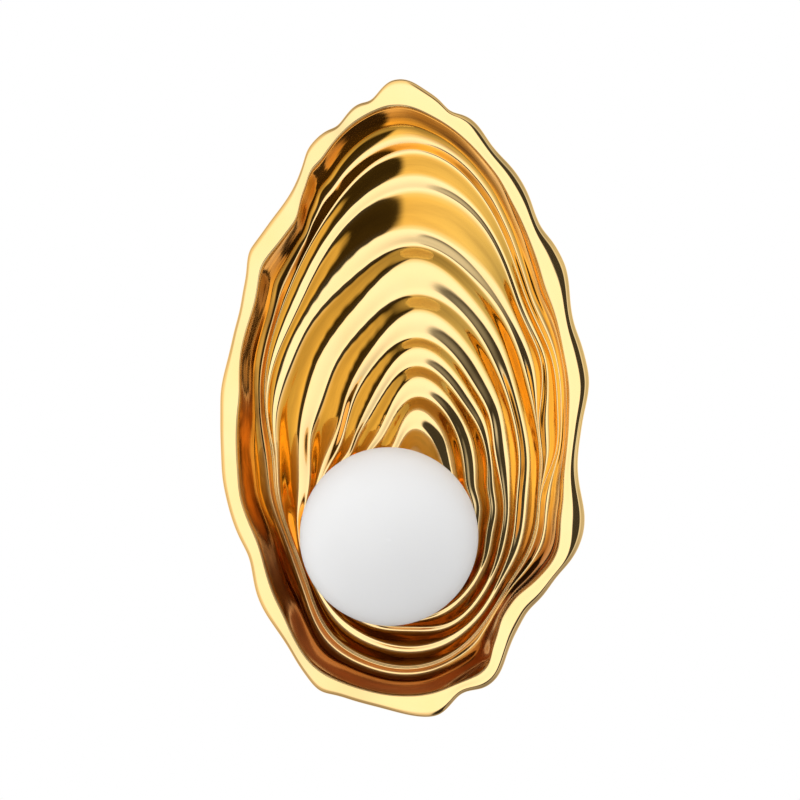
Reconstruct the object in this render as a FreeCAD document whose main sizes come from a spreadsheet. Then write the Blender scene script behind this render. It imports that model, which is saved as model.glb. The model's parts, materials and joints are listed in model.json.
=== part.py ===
"""Shell wall sconce: a polished oyster-shell dish on a round back pan, with an opal globe lamp in its lower half.

Every piece is drawn in one bench frame. Its origin is the lamp axis where it meets the wall, X runs to the
right, Y up and Z out from the wall. UPRIGHT then stands the finished pieces on the wall: Z up, front towards -Y.
"""
import FreeCAD
import Part
import bisect
import math
import os
import re
import Sketcher

Vector = FreeCAD.Vector
UPRIGHT = FreeCAD.Placement(Vector(0, 0, 0), FreeCAD.Rotation(Vector(1, 0, 0), 90))

# Driving dimensions, in millimetres, with what each one is.
SIZES = [
    ("shell_width", 250, "shell, widest across"),
    ("shell_height", 431, "shell, top to bottom"),
    ("dish_depth", 57, "seat of the shell out to its rim"),
    ("shell_wall", 5, "cast wall, measured front to back"),
    ("seat_radius", 42, "flat seat in the shell's floor"),
    ("seat_thickness", 7, "shell at the seat, with its rear pad"),
    ("pad_radius", 38, "rear pad of the shell"),
    ("crease_drop", 18, "steep step inside the rim, on the left"),
    ("top_drop", 8, "that step, deeper at the top"),
    ("right_drop", 4.5, "that step, shallower on the right"),
    ("ridge_lift", 2.8, "ridges' crests in front of the dish's even floor"),
    ("groove_steepness", 0.48, "groove's depth over the distance between its crests, for a slope of one"),
    ("groove_limit", 5.6, "deepest groove"),
    ("rim_sway", 1.6, "slow rise and fall of the rim out of its plane"),
    ("pan_radius", 65, "back pan"),
    ("pan_depth", 24, "back pan, wall to front"),
    ("pan_wall", 1.2, "sheet of the back pan"),
    ("pan_corner", 3, "bevel of the pan's front edge"),
    ("strap_width", 30, "bracket across its length"),
    ("strap_wall", 2, "sheet of the bracket"),
    ("ear_width", 14, "bracket ears that take the side screws"),
    ("ear_height", 15, "bracket ears, from the wall out"),
    ("slot_spacing", 79.4, "bracket slots, centre to centre"),
    ("slot_length", 14.1, "bracket slots, end to end"),
    ("slot_width", 4.6, "bracket slots, for box screws of 4.2"),
    ("entry_radius", 8, "hole in the bracket for the supply wires"),
    ("screw_radius", 2, "machine screws of the bracket, pan and shell"),
    ("head_radius", 4, "their heads"),
    ("head_height", 2.4, "their heads"),
    ("drive_width", 0.9, "slot in a screw's head"),
    ("drive_depth", 1.1, "slot in a screw's head"),
    ("screw_gap", 0.05, "round a screw in its hole"),
    ("side_height", 10, "pan side screws, out from the wall"),
    ("side_length", 7, "pan side screws under the head"),
    ("mount_circle", 26, "radius of the three shell screws' circle"),
    ("mount_bite", 4.5, "shell screws' hold in the shell's pad"),
    ("earth_offset", 24, "earth screw from the lamp axis"),
    ("lug_radius", 4, "ring terminals of the earth lead"),
    ("lug_wall", 0.8, "ring terminals of the earth lead"),
    ("lug_crimp", 0.3, "earth lead pressed into its ring terminals"),
    ("pan_earth_x", 32, "pan earth screw, right of the lamp axis"),
    ("pan_earth_y", 40, "pan earth screw, below the lamp axis"),
    ("pipe_radius", 5, "lamp pipe, outside its thread"),
    ("pipe_bore", 3.7, "radius of the lamp pipe's bore"),
    ("pipe_stand", 17, "wall to the rear end of the lamp pipe"),
    ("pipe_length", 22.5, "lamp pipe"),
    ("nut_corner", 8.1, "pipe nuts, centre to corner"),
    ("nut_height", 3, "pipe nuts"),
    ("washer_radius", 9.5, "pipe washer"),
    ("washer_wall", 1, "pipe washer"),
    ("liner_bore", 2.9, "radius of the hole in the pipe's liners"),
    ("liner_flange", 1, "head of the pipe's liners"),
    ("liner_reach", 4, "liners' length in the pipe"),
    ("holder_radius", 30, "shoulder of the globe holder"),
    ("holder_base", 2, "floor of the globe holder"),
    ("shoulder_height", 5, "shoulder of the globe holder"),
    ("neck_radius", 26, "threaded neck of the globe holder"),
    ("neck_length", 11, "threaded neck of the globe holder"),
    ("neck_wall", 3, "threaded neck of the globe holder"),
    ("thread_gap", 0.05, "between the neck and the globe's collar"),
    ("seal_gap", 0.1, "in front of and behind the gasket"),
    ("gasket_height", 1.9, "globe gasket"),
    ("gasket_inset", 0.4, "gasket from the neck and from the shoulder's edge"),
    ("collar_radius", 29.5, "globe collar"),
    ("collar_clearance", 1, "collar's flange in front of the neck"),
    ("collar_flange", 1.5, "flange of the globe collar"),
    ("lip_height", 3.5, "collar's lip inside the glass"),
    ("lip_wall", 1.8, "collar's lip inside the glass"),
    ("lip_gap", 0.3, "collar's lip to the glass"),
    ("bond_wall", 0.5, "silicone between collar and glass"),
    ("globe_radius", 60, "opal globe"),
    ("glass_wall", 3, "opal globe"),
    ("mouth_radius", 16.7, "hole in the globe"),
    ("saddle_width", 14, "lampholder bracket"),
    ("saddle_wall", 1.2, "lampholder bracket"),
    ("saddle_reach", 12, "lampholder bracket's legs from the lamp axis"),
    ("saddle_height", 17, "lampholder bracket"),
    ("socket_radius", 12, "lampholder"),
    ("socket_height", 13, "lampholder"),
    ("socket_floor", 1.2, "lampholder behind its contacts"),
    ("small_radius", 1.5, "lampholder screws"),
    ("small_offset", 8.7, "lampholder screws from the lamp axis"),
    ("pin_spacing", 9, "lamp pins, centre to centre"),
    ("pin_wire", 0.37, "radius of the pins' wire"),
    ("pin_loop", 1.1, "half width of a pin's loop"),
    ("pin_length", 9, "straight part of a pin"),
    ("pin_gap", 0.05, "contact to pin"),
    ("contact_width", 3.6, "lampholder contacts"),
    ("contact_wall", 0.4, "lampholder contacts"),
    ("contact_height", 9.5, "lampholder contacts"),
    ("pocket_gap", 0.4, "round a contact in its pocket"),
    ("lamp_gap", 0.4, "lamp base to lampholder"),
    ("lamp_radius", 8.5, "lamp envelope"),
    ("lamp_wall", 0.8, "lamp envelope"),
    ("lamp_length", 35, "straight part of the lamp envelope"),
    ("base_height", 8, "lamp base"),
    ("base_plug", 2, "lamp base inside the envelope"),
    ("core_radius", 4.5, "light source inside the lamp"),
    ("core_length", 30, "light source inside the lamp"),
    ("block_inner", 12, "terminal block's near side from the lamp axis"),
    ("block_width", 17, "terminal block"),
    ("block_length", 16, "terminal block"),
    ("block_height", 12, "terminal block"),
    ("pole_spacing", 8, "terminal block's poles"),
    ("clamp_height", 5, "clamps' centres above the bracket"),
    ("clamp_radius", 2.4, "clamps of the terminal block"),
    ("clamp_bore", 1.4, "clamps of the terminal block"),
    ("clamp_inset", 1, "clamps from the block's ends"),
    ("grub_radius", 1.25, "terminal screws"),
    ("grub_spacing", 8, "terminal screws along a clamp"),
    ("grub_length", 5.2, "terminal screws"),
    ("fixing_radius", 1.3, "screw of the terminal block"),
    ("fixing_head", 2.2, "screw of the terminal block"),
    ("fixing_sink", 2, "head of that screw below the block's top"),
    ("lead_radius", 1.1, "leads over their insulation"),
    ("lead_gap", 0.3, "leads to the pipe's liners"),
    ("live_drop", 14, "live lead's loop below the terminal block"),
    ("neutral_drop", 7, "neutral lead's loop below the terminal block"),
]

# The rim's outline seen from the front, clockwise from its top: right of and above the beak of the shell.
RIM = [
    (-1.5, 276), (9, 270), (19, 262.5), (25, 256.5), (32.5, 253.5), (40, 250), (46, 244), (52.5, 234.5),
    (59.5, 226), (67, 218), (73.5, 209), (79.5, 197), (83, 187), (87, 178), (94.5, 168), (100, 159),
    (104, 149.5), (106, 138.5), (107, 127), (109.5, 112.5), (113.5, 101), (117.5, 87), (119.5, 74),
    (118.5, 62.5), (116, 50.5), (114, 38.5), (112.5, 27), (112, 13.5), (114, -1.5), (116.5, -17), (116, -27),
    (112.5, -38.5), (106.5, -48.5), (98, -58.5), (87, -73), (78, -82.5), (73, -91), (68, -101), (64, -111.5),
    (59.5, -123), (54.5, -129.5), (46.5, -134), (37, -136), (31.5, -139), (25.5, -145.5), (19, -151),
    (11, -153), (2, -152.5), (-8, -150.5), (-21.5, -147), (-38.5, -142.5), (-52, -138.5), (-62, -135.5),
    (-70, -127.5), (-77, -117.5), (-83.5, -106.5), (-92.5, -93), (-101, -79.5), (-105.5, -68), (-108, -55.5),
    (-110.5, -45), (-116, -33.5), (-121.5, -20), (-125.5, -5.5), (-128, 8), (-129, 23.5), (-129.5, 40.5),
    (-129.5, 54), (-129, 67.5), (-126, 82.5), (-123, 94.5), (-119.5, 109.5), (-116, 123.5), (-114, 135),
    (-112, 147), (-110, 160.5), (-106.5, 166.5), (-101, 174), (-94.5, 183), (-87, 193), (-81, 202.5),
    (-77, 211), (-73.5, 221), (-71, 228.5), (-67.5, 234), (-62, 239.5), (-56.5, 243), (-50.5, 246),
    (-46.5, 250.5), (-40.5, 257.5), (-34.5, 261), (-27.5, 263.5), (-21.5, 270), (-16, 275), (-10, 277),
]
# The crease where the rim drops into the dish, in the same way.
CREASE = [
    (2, 257.5), (12, 253), (22.5, 247), (32.5, 239.5), (42.5, 230), (52.5, 218.5), (59.5, 209), (66, 197),
    (73, 183.5), (79.5, 168.5), (85.5, 152), (89.5, 138.5), (94.5, 125), (98.5, 111.5), (102, 94.5),
    (104.5, 81), (106, 67.5), (106, 54), (105.5, 40.5), (104, 23.5), (102.5, 6.5), (102, -6.5), (100.5, -20),
    (100, -30.5), (98.5, -40.5), (94.5, -49), (87.5, -57.5), (79.5, -65), (71.5, -71.5), (65, -79.5),
    (60, -89), (57.5, -98), (54.5, -108), (52.5, -116), (48.5, -122), (39, -127.5), (29, -131.5), (19, -135.5),
    (5.5, -138.5), (-4.5, -139), (-15, -138.5), (-28.5, -136), (-42, -132), (-52, -128), (-60.5, -123.5),
    (-69, -116.5), (-75.5, -108), (-81, -98), (-87, -84.5), (-92.5, -73), (-98, -58), (-101, -47),
    (-104.5, -35.5), (-110, -22.5), (-114, -12), (-116.5, -1.5), (-117.5, 10), (-118.5, 27), (-118.5, 40.5),
    (-117.5, 54), (-116.5, 64), (-116.5, 77.5), (-115.5, 93), (-112, 108), (-109.5, 116), (-106, 128),
    (-104, 139.5), (-102, 149.5), (-98.5, 156), (-90.5, 166), (-82.5, 176.5), (-77.5, 185.5), (-75, 196.5),
    (-72, 205.5), (-69, 214), (-62, 222.5), (-55.5, 231.5), (-45, 243.5), (-35, 251), (-21.5, 257.5),
    (-8, 259.5),
]
# Distance of each growth ridge's crest from the beak along 24 spokes, clockwise from the top, outermost first.
RIDGES = [
    [229, 199, 153, 132, 114, 101, 88, 88.5, 90.5, 93, 102.5, 115,
     121.5, 120, 113, 99, 91, 90, 93, 98.5, 115, 136.5, 162.5, 200],
    [203.5, 184.5, 144, 123.5, 99.5, 91, 87, 87.8, 89.8, 92.3, 101.8, 114.3,
     120.8, 119.3, 112.3, 98.3, 90.3, 89.3, 92, 97, 113.5, 129.5, 149, 182.5],
    [166, 150.5, 129, 109.5, 97, 90, 86, 87, 89, 91.5, 101, 113.5,
     120, 118.5, 111.5, 97.5, 89.5, 88.5, 90.5, 95, 106, 117, 133.5, 150],
    [133, 124, 105.5, 91, 81.5, 75.5, 71.5, 72.5, 77.5, 84, 94, 103,
     107, 105, 99.5, 92, 85.5, 76.5, 70, 71.5, 78.5, 86, 101, 117.5],
    [103.5, 96.5, 82.5, 73.5, 64, 60, 61, 64.5, 69, 77, 86.5, 94.5,
     94, 95, 92, 87.5, 82.5, 71.5, 63.5, 58.5, 57, 63, 75.5, 90.5],
    [84, 79, 68.5, 62.5, 57.5, 53.5, 51.5, 55, 58.5, 67.5, 76.5, 84.5,
     89.5, 92, 90.5, 84.5, 79, 67.5, 58, 51.5, 48, 51.5, 57.5, 70],
    [62.5, 61, 53, 45.5, 40, 37, 37.5, 42.5, 48, 57.5, 67, 77.5,
     84, 88.5, 86.5, 81.5, 76, 63.5, 54, 45.5, 38.5, 38, 40.5, 50],
    [40.5, 38.5, 32.5, 27.5, 25, 25, 27.5, 32.5, 38.5, 47, 58, 70.5,
     78, 83, 82.5, 78, 72, 59.5, 49, 39.5, 31.5, 28, 26.5, 31.5],
]
# Share of the way in from a crest to the next where the groove between them is deepest, on the same spokes.
GROOVES = [
    [0.63, 0.6, 0.72, 0.62, 0.64, 0.66, 0.57, 0.6, 0.66, 0.75, 0.8, 0.78,
     0.74, 0.75, 0.78, 0.82, 0.84, 0.84, 0.84, 0.8, 0.78, 0.84, 0.76, 0.64],
    [0.61, 0.6, 0.5, 0.5, 0.5, 0.5, 0.5, 0.5, 0.5, 0.5, 0.5, 0.5,
     0.5, 0.5, 0.5, 0.5, 0.5, 0.5, 0.5, 0.5, 0.5, 0.5, 0.48, 0.56],
    [0.69, 0.65, 0.42, 0.45, 0.5, 0.5, 0.5, 0.5, 0.5, 0.5, 0.5, 0.5,
     0.5, 0.5, 0.5, 0.5, 0.5, 0.5, 0.5, 0.5, 0.55, 0.4, 0.46, 0.54],
    [0.3, 0.4, 0.45, 0.55, 0.54, 0.48, 0.43, 0.43, 0.43, 0.45, 0.5, 0.5,
     0.5, 0.5, 0.52, 0.55, 0.58, 0.6, 0.61, 0.62, 0.65, 0.55, 0.55, 0.48],
    [0.4, 0.42, 0.42, 0.42, 0.42, 0.42, 0.42, 0.42, 0.42, 0.42, 0.45, 0.45,
     0.45, 0.45, 0.45, 0.45, 0.48, 0.5, 0.55, 0.6, 0.7, 0.75, 0.7, 0.6],
]
BEAK = (15.5, 31)          # the beak that the ridges ring, right of and above the lamp axis
DRAWN_SEAT = 42            # the seat's radius for which the ridges are drawn
TOP_LEAN = 0.3             # how far left of straight up the top's own form is centred, in radians
BOWL_POWER = 1.35          # how the dish steepens outwards from its seat
TOP_POWER = 0.3            # how much less it does at the top
TOP_STEEPNESS = 0.12       # how much shallower the two outermost grooves are there
OUTWARD_TILT = 0.16        # slope of a groove's inner side against the dish
CREST_BLUNT = 0.2          # share of a groove's outer and inner side rounded at the crest
TREAD_BLUNT = 0.12
WALL_SHARE = 0.75          # share of the outermost groove's outer side taken by the step inside the rim
CREST_SETTLE = 1.3         # how a groove's sides level out at its trough, and how much more in a soft groove
SOFT_SETTLE = 0.7
LIFT_SHARE = 0.3           # share of the way out from the seat over which the ridges rise to their lift
NEAR_REACHES = [math.radians(4 * i) for i in range(-3, 4)]      # where the dish's even width is taken from
SWAY_WAVES = ((0.6, 2, 0.8), (0.4, 5, 0))      # share, waves round the rim and start of the rim's sway
# Sine or cosine of the angle between which each side's own form begins and is full.
SIDE_BLEND = (0.05, 0.6)
TOP_BLEND = (0.5, 0.9)
ROLL_BLEND = (-0.25, 0.1)
LIP_BLEND = (0.1, 0.2)
# The rim band: its fall towards the edge on the left, and its swell and turn-over elsewhere.
BAND_FALL = 1.5
BAND_SWELL = 0.9
BAND_TURN = 3.4
BAND_TURN_POWER = 1.6
LIP_DROP = 0.9             # how far the band's last strip falls to the edge, and how much more on the right
RIGHT_LIP_DROP = 1.5
LIP_STEPS = (0.82, 1.2)
# Share of the band where it turns over: on the upper right, and how much further at the right, below and on top.
ROLL_START = 0.6
ROLL_RIGHT = 0.1
ROLL_LOW = 0.2
ROLL_TOP = 0.37
ROLL_LATEST = 0.97
COLUMNS = 120              # surface points round the shell
SECTORS = 8                # faces round the shell
RIDGE_PHASES = (0, 0.5, 1, 1.5)
BACK_PHASES = (0, 0.35, 0.8, 1.3)
RIM_STEPS = (0, 0.2, 0.42, 0.64, 0.84)
EDGE_LIP = 1.2             # how far the rim's rounded edge stands out of its front


def make_sheet(doc):
    """Write the driving dimensions into the document's sheet."""
    sheet = doc.addObject("Spreadsheet::Sheet", "sizes")
    for row, (alias, value, what) in enumerate(SIZES, start=1):
        sheet.set(f"A{row}", alias)
        sheet.set(f"B{row}", str(value))
        sheet.set(f"C{row}", what)
        sheet.setAlias(f"B{row}", alias)
    doc.recompute()
    return sheet


# Stations along the lamp axis, out from the wall, as formulas in the sheet's names.
PAN_INSIDE = "(pan_depth - pan_wall)"
SEAT = "(pan_depth + seat_thickness)"
HOLDER_FLOOR = f"({SEAT} + holder_base)"
SHOULDER = f"({SEAT} + shoulder_height)"
NECK_FRONT = f"({SHOULDER} + neck_length)"
GASKET_BACK = f"({SHOULDER} + seal_gap)"
COLLAR_BACK = f"({GASKET_BACK} + gasket_height + seal_gap)"
FLANGE_BACK = f"({NECK_FRONT} + collar_clearance)"
FLANGE_FRONT = f"({FLANGE_BACK} + collar_flange)"
MOUTH = f"({FLANGE_FRONT} + bond_wall)"
GLOBE_CENTRE = f"({MOUTH} + sqrt((globe_radius - glass_wall)^2 - mouth_radius^2))"
PIPE_FRONT = "(pipe_stand + pipe_length)"
SADDLE_TOP = f"({HOLDER_FLOOR} + saddle_height)"
CONTACT_BACK = f"({SADDLE_TOP} + socket_floor)"
SOCKET_FRONT = f"({SADDLE_TOP} + socket_height)"
LAMP_BACK = f"({SOCKET_FRONT} + lamp_gap)"
LAMP_REST = f"({LAMP_BACK} + base_height)"
BLOCK_TOP = "(strap_wall + block_height)"
CLAMP_LEVEL = "(strap_wall + clamp_height)"
SMALL_HEAD = "1.6 * small_radius"          # head of the lampholder's screws
GRUB_WELL = "1.3 * grub_radius"            # wells of the terminal screws in the block
PIPE_HOLE = "(pipe_radius + screw_gap)"
NECK_BORE = "(neck_radius - neck_wall)"
COLLAR_BORE = "(neck_radius + thread_gap)"
LIP_RADIUS = "(mouth_radius - lip_gap)"
EAR_REACH = "(sqrt((pan_radius - pan_wall - pocket_gap)^2 - (ear_width / 2)^2))"
BLOCK_MIDDLE = "(-(block_inner + block_width / 2))"
MOUNT_SPOTS = (("0 * mount_circle", "mount_circle"), ("mount_circle * sin(120)", "-mount_circle / 2"),
               ("-mount_circle * sin(120)", "-mount_circle / 2"))


def in_sheet(formula):
    """The same formula with each name in it read from the sheet."""
    return re.sub(r"[a-z]+(?:_[a-z]+)+", r"sizes.\g<0>", str(formula))


def tie(thing, formulas):
    """Bind properties of an object to formulas."""
    for name, formula in formulas.items():
        thing.setExpression(name, in_sheet(formula))
    return thing


def place(thing, x=0, y=0, z=0):
    """Bind an object's position to formulas."""
    spots = {"Placement.Base.x": x, "Placement.Base.y": y, "Placement.Base.z": z}
    return tie(thing, {name: spot for name, spot in spots.items() if spot != 0})


def outline(body, name, role, corners, lift=None):
    """A closed sketch of straight lines on one of the body's planes, each corner bound to two formulas."""
    sketch = body.newObject("Sketcher::SketchObject", name)
    plane = next(item for item in body.Origin.OriginFeatures if item.Role == role)
    sketch.AttachmentSupport = (plane, [""])
    sketch.MapMode = "FlatFace"
    if lift is not None:
        sketch.setExpression("AttachmentOffset.Base.z", in_sheet(lift))
    count = len(corners)
    rough = [Vector(20 + 10 * math.cos(math.tau * i / count), 20 + 10 * math.sin(math.tau * i / count), 0)
             for i in range(count)]
    for i in range(count):
        sketch.addGeometry(Part.LineSegment(rough[i], rough[(i + 1) % count]), False)
    for i in range(count):
        sketch.addConstraint(Sketcher.Constraint("Coincident", i, 2, (i + 1) % count, 1))
    for i, (across, up) in enumerate(corners):
        for kind, axis, formula, guess in (("DistanceX", -2, across, rough[i].x), ("DistanceY", -1, up, rough[i].y)):
            if formula == 0:
                sketch.addConstraint(Sketcher.Constraint("PointOnObject", i, 1, axis))
                continue
            index = sketch.addConstraint(Sketcher.Constraint(kind, -1, 1, i, 1, guess))
            sketch.setExpression(f"Constraints[{index}]", in_sheet(formula))
    return sketch


def turned(doc, label, corners):
    """A body turned about the lamp axis from corners given as radius and distance from the wall."""
    body = doc.addObject("PartDesign::Body", label)
    sketch = outline(body, label + "_profile", "XZ_Plane", corners)
    turn = body.newObject("PartDesign::Revolution", label + "_turn")
    turn.Profile = sketch
    turn.ReferenceAxis = (sketch, ["V_Axis"])
    turn.Angle = 360
    return body


def folded(doc, label, corners, width):
    """A body of bent sheet: its section in X and Z, as wide as given to both sides of the lamp axis."""
    body = doc.addObject("PartDesign::Body", label)
    sketch = outline(body, label + "_section", "XZ_Plane", corners)
    pad = body.newObject("PartDesign::Pad", label + "_sheet")
    pad.Profile = sketch
    pad.SideType = "Symmetric"
    pad.setExpression("Length", in_sheet(width))
    return body


def rod(doc, name, radius, height, x=0, y=0, z=0):
    return place(tie(doc.addObject("Part::Cylinder", name), {"Radius": radius, "Height": height}), x, y, z)


def block(doc, name, length, width, height, x=0, y=0, z=0):
    """A box given by its sizes along X, Y and Z and by its lowest corner."""
    return place(tie(doc.addObject("Part::Box", name), {"Length": length, "Width": width, "Height": height}),
                 x, y, z)


def joined(doc, name, things):
    whole = doc.addObject("Part::MultiFuse", name)
    whole.Shapes = things
    return whole


def cut(doc, name, base, tools):
    """The base with each tool cut from it."""
    part = doc.addObject("Part::Cut", name)
    part.Base = base
    part.Tool = tools[0] if len(tools) == 1 else joined(doc, name + "_cuts", tools)
    return part


def group(doc, name, things):
    """Separate solids kept together in one node."""
    whole = doc.addObject("Part::Compound", name)
    whole.Links = things
    return whole


class Loop:
    """A smooth closed curve through values given at rising angles."""

    def __init__(self, angles, values):
        pairs = sorted((a % math.tau, v) for a, v in zip(angles, values))
        self.angles = [a for a, _ in pairs]
        self.values = [v for _, v in pairs]
        count = len(pairs)
        self.steps = [(self.angles[(i + 1) % count] - self.angles[i]) % math.tau for i in range(count)]
        rises = [(self.values[(i + 1) % count] - self.values[i]) / self.steps[i] for i in range(count)]
        self.bends = [0.0] * count
        for _ in range(40):
            for i in range(count):
                before, after = self.steps[i - 1], self.steps[i]
                pull = before * self.bends[i - 1] + after * self.bends[(i + 1) % count]
                self.bends[i] = (6 * (rises[i] - rises[i - 1]) - pull) / (2 * (before + after))

    def __call__(self, angle):
        angle %= math.tau
        i = bisect.bisect_right(self.angles, angle) - 1
        step = self.steps[i]
        b = ((angle - self.angles[i]) % math.tau) / step
        a = 1 - b
        j = (i + 1) % len(self.values)
        curve = (a ** 3 - a) * self.bends[i] + (b ** 3 - b) * self.bends[j]
        return a * self.values[i] + b * self.values[j] + curve * step ** 2 / 6


def loop_from_points(points):
    """The distance from the beak to a closed outline, by angle clockwise from the top."""
    angles = [math.atan2(x, y) for x, y in points]
    return Loop(angles, [math.hypot(x, y) for x, y in points])


def ease(value, low, high):
    """0 below low, 1 above high and smooth between."""
    share = min(1, max(0, (value - low) / (high - low)))
    return share * share * (3 - 2 * share)


def fold(share, blunt, full, settle=CREST_SETTLE):
    """0 at a blunt crest and 1 at the trough; the fuller the side, the straighter it runs down to the trough."""
    run = (math.hypot(share, blunt) - blunt) / (math.hypot(1, blunt) - blunt)
    curved = math.sin(math.pi / 2 * run)
    straight = 1 - (1 - run) ** settle
    return curved + (straight - curved) * full


def swing(phase, full, soft):
    """1 at a crest, where the phase is 0 or 2, and -1 at the trough between; the softer the groove, the more
    slowly its outer side levels out."""
    if phase < 1:
        return 1 - 2 * fold(phase, CREST_BLUNT, 1, CREST_SETTLE + SOFT_SETTLE * soft)
    return 1 - 2 * fold(2 - phase, TREAD_BLUNT, full)


def reach_to_circle(angle, radius, stretch_x, stretch_y):
    """Distance from the beak to a circle round the lamp axis, before the shell is stretched to its size."""
    dx, dy = math.sin(angle) * stretch_x, math.cos(angle) * stretch_y
    bx, by = BEAK
    long = dx * dx + dy * dy
    half = (dx * bx + dy * by) / long
    return -half + math.sqrt(half ** 2 + (radius ** 2 - bx * bx - by * by) / long)


def roll_start(angle):
    """Where the rim band turns over towards its edge: in its middle on the right, later below and at the top."""
    side = math.sin(angle)
    start = ROLL_START - ROLL_RIGHT * ease(side, 0.85, 1) + ROLL_LOW * ease(-math.cos(angle), 0.2, 0.5)
    return min(ROLL_LATEST, start + ROLL_TOP * (1 - ease(side, *LIP_BLEND)))


class Dish:
    """The shell's form: rows of points that run round it along its rim, crease and ridges."""

    def __init__(self, sheet):
        self.sheet = sheet
        xs = [x for x, _ in RIM]
        ys = [y for _, y in RIM]
        self.stretch_x = sheet.shell_width / (max(xs) - min(xs))
        self.stretch_y = sheet.shell_height / (max(ys) - min(ys))
        self.rim = loop_from_points(RIM)
        self.crease = loop_from_points(CREASE)
        spokes = [math.tau * i / len(RIDGES[0]) for i in range(len(RIDGES[0]))]
        self.ridges = [Loop(spokes, reaches) for reaches in RIDGES]
        self.grooves = [Loop(spokes, shares) for shares in GROOVES]
        self.angles = self.even_angles()
        self.spokes = [self.spoke(angle) for angle in self.angles]

    def even_angles(self):
        """Angles whose points lie evenly along the rim."""
        fine = [math.tau * i / 3600 for i in range(3601)]
        points = [(self.rim(a) * math.sin(a), self.rim(a) * math.cos(a)) for a in fine]
        along = [0.0]
        for (x0, y0), (x1, y1) in zip(points, points[1:]):
            along.append(along[-1] + math.hypot(x1 - x0, y1 - y0))
        wanted = [along[-1] * i / COLUMNS for i in range(COLUMNS)]
        return [fine[bisect.bisect_left(along, reach)] for reach in wanted]

    def spoke(self, angle):
        """What the profile along one spoke needs: its crests from the crease in, the seat and the rim.
        The ridges keep their shares of the way from the seat to the crease, whatever the shell's size."""
        crease = self.crease(angle)
        drawn = reach_to_circle(angle, DRAWN_SEAT, 1, 1)
        seat = reach_to_circle(angle, self.sheet.seat_radius, self.stretch_x, self.stretch_y)
        spread = (crease - seat) / (crease - drawn)
        ridges = [seat + (ridge(angle) - drawn) * spread for ridge in self.ridges]
        near = [self.crease(angle + offset) for offset in NEAR_REACHES]
        grooves = [groove(angle) for groove in self.grooves]
        side = math.sin(angle)
        top, right = ease(math.cos(angle + TOP_LEAN), *TOP_BLEND), ease(side, *SIDE_BLEND)
        return {
            "angle": angle,
            "crests": [crease, *ridges, seat],
            "rim": self.rim(angle),
            "wide": sum(near) / len(near),
            "grooves": grooves + grooves[-1:] * (len(ridges) + 1 - len(grooves)),
            "drop": self.sheet.crease_drop + self.sheet.top_drop * top - self.sheet.right_drop * right,
            "power": BOWL_POWER - TOP_POWER * top,
            "top": top,
            "right": right,
            "left": ease(-side, *SIDE_BLEND),
            "rolled": ease(side, *ROLL_BLEND),
            "roll": roll_start(angle),
            "lip": LIP_DROP + RIGHT_LIP_DROP * ease(side, *LIP_BLEND),
        }

    def sway(self, angle):
        """How far the rim stands out of its plane."""
        waves = [share * math.sin(count * angle + start) for share, count, start in SWAY_WAVES]
        return self.sheet.rim_sway * sum(waves)

    def groove_depth(self, spoke, ring):
        """Depth of the groove between one crest and the next, by their distance and the slope of the dish."""
        crests, power = spoke["crests"], spoke["power"]
        if ring == len(crests) - 2:
            return 0.0
        span = crests[0] - crests[-1]
        share = (crests[ring] - crests[-1]) / span
        slope = (self.sheet.dish_depth - spoke["drop"]) * power * share ** (power - 1) / span
        steepness = self.sheet.groove_steepness - TOP_STEEPNESS * spoke["top"] * (ring in (1, 2))
        depth = steepness * (slope + OUTWARD_TILT) * (crests[ring] - crests[ring + 1])
        return min(self.sheet.groove_limit, depth)

    def inner(self, spoke, ring, phase, ridged=True):
        """Reach and height on the way in from one crest at phase 0 over the trough at 1 to the next crest at 2."""
        crests, turn = spoke["crests"], spoke["grooves"][ring]
        step = turn * phase if phase < 1 else turn + (1 - turn) * (phase - 1)
        reach = crests[ring] + (crests[ring + 1] - crests[ring]) * step
        wide = spoke["wide"] - crests[-1]
        share = (reach - crests[-1]) / wide
        if ring == 0:
            share += (1 - (crests[0] - crests[-1]) / wide) * (1 - step)
        depth = self.sheet.dish_depth - spoke["drop"]
        height = depth * share ** spoke["power"] + self.sway(spoke["angle"]) * share ** 2
        if ridged:
            height += self.sheet.ridge_lift * ease(share, 0, LIFT_SHARE)
            height -= self.groove_depth(spoke, ring) * (1 - swing(phase, spoke["left"], spoke["left"])) / 2
        if ring == 0:
            fallen = min(1, phase / WALL_SHARE)
            sharp = 1 - (1 - fallen) ** 2
            height += spoke["drop"] * (1 - sharp + (sharp - ease(fallen, 0, 1)) * spoke["right"])
        return reach, height

    def outer(self, spoke, step):
        """Reach and height on the rim band, from the crease at 0 to the edge at 1."""
        crease, rim = spoke["crests"][0], spoke["rim"] - EDGE_LIP
        top = self.sheet.dish_depth + self.sway(spoke["angle"]) + self.sheet.ridge_lift
        falling, roll = -BAND_FALL * step, spoke["roll"]
        swell = BAND_SWELL * math.sin(math.pi / 2 * min(step, roll) / roll) ** 2
        rolled = swell - BAND_TURN * max(0, step - roll) ** BAND_TURN_POWER
        edge = -spoke["lip"] * ease(step, *LIP_STEPS)
        return crease + (rim - crease) * step, top + falling + (rolled - falling) * spoke["rolled"] + edge

    def row(self, place, lift=0):
        """One row round the shell, each point placed by a function of its spoke and moved out a little,
        because the surface runs inside its poles."""
        points = []
        for spoke in self.spokes:
            reach, height = place(spoke)
            x = BEAK[0] + reach * math.sin(spoke["angle"]) * self.stretch_x
            y = BEAK[1] + reach * math.cos(spoke["angle"]) * self.stretch_y
            points.append(Vector(x, y, height + lift))
        around = points[-1:] + points + points[:1]
        return [p - (b - p * 2 + a) / 6 for b, p, a in zip(around, points, around[2:])]

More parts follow.
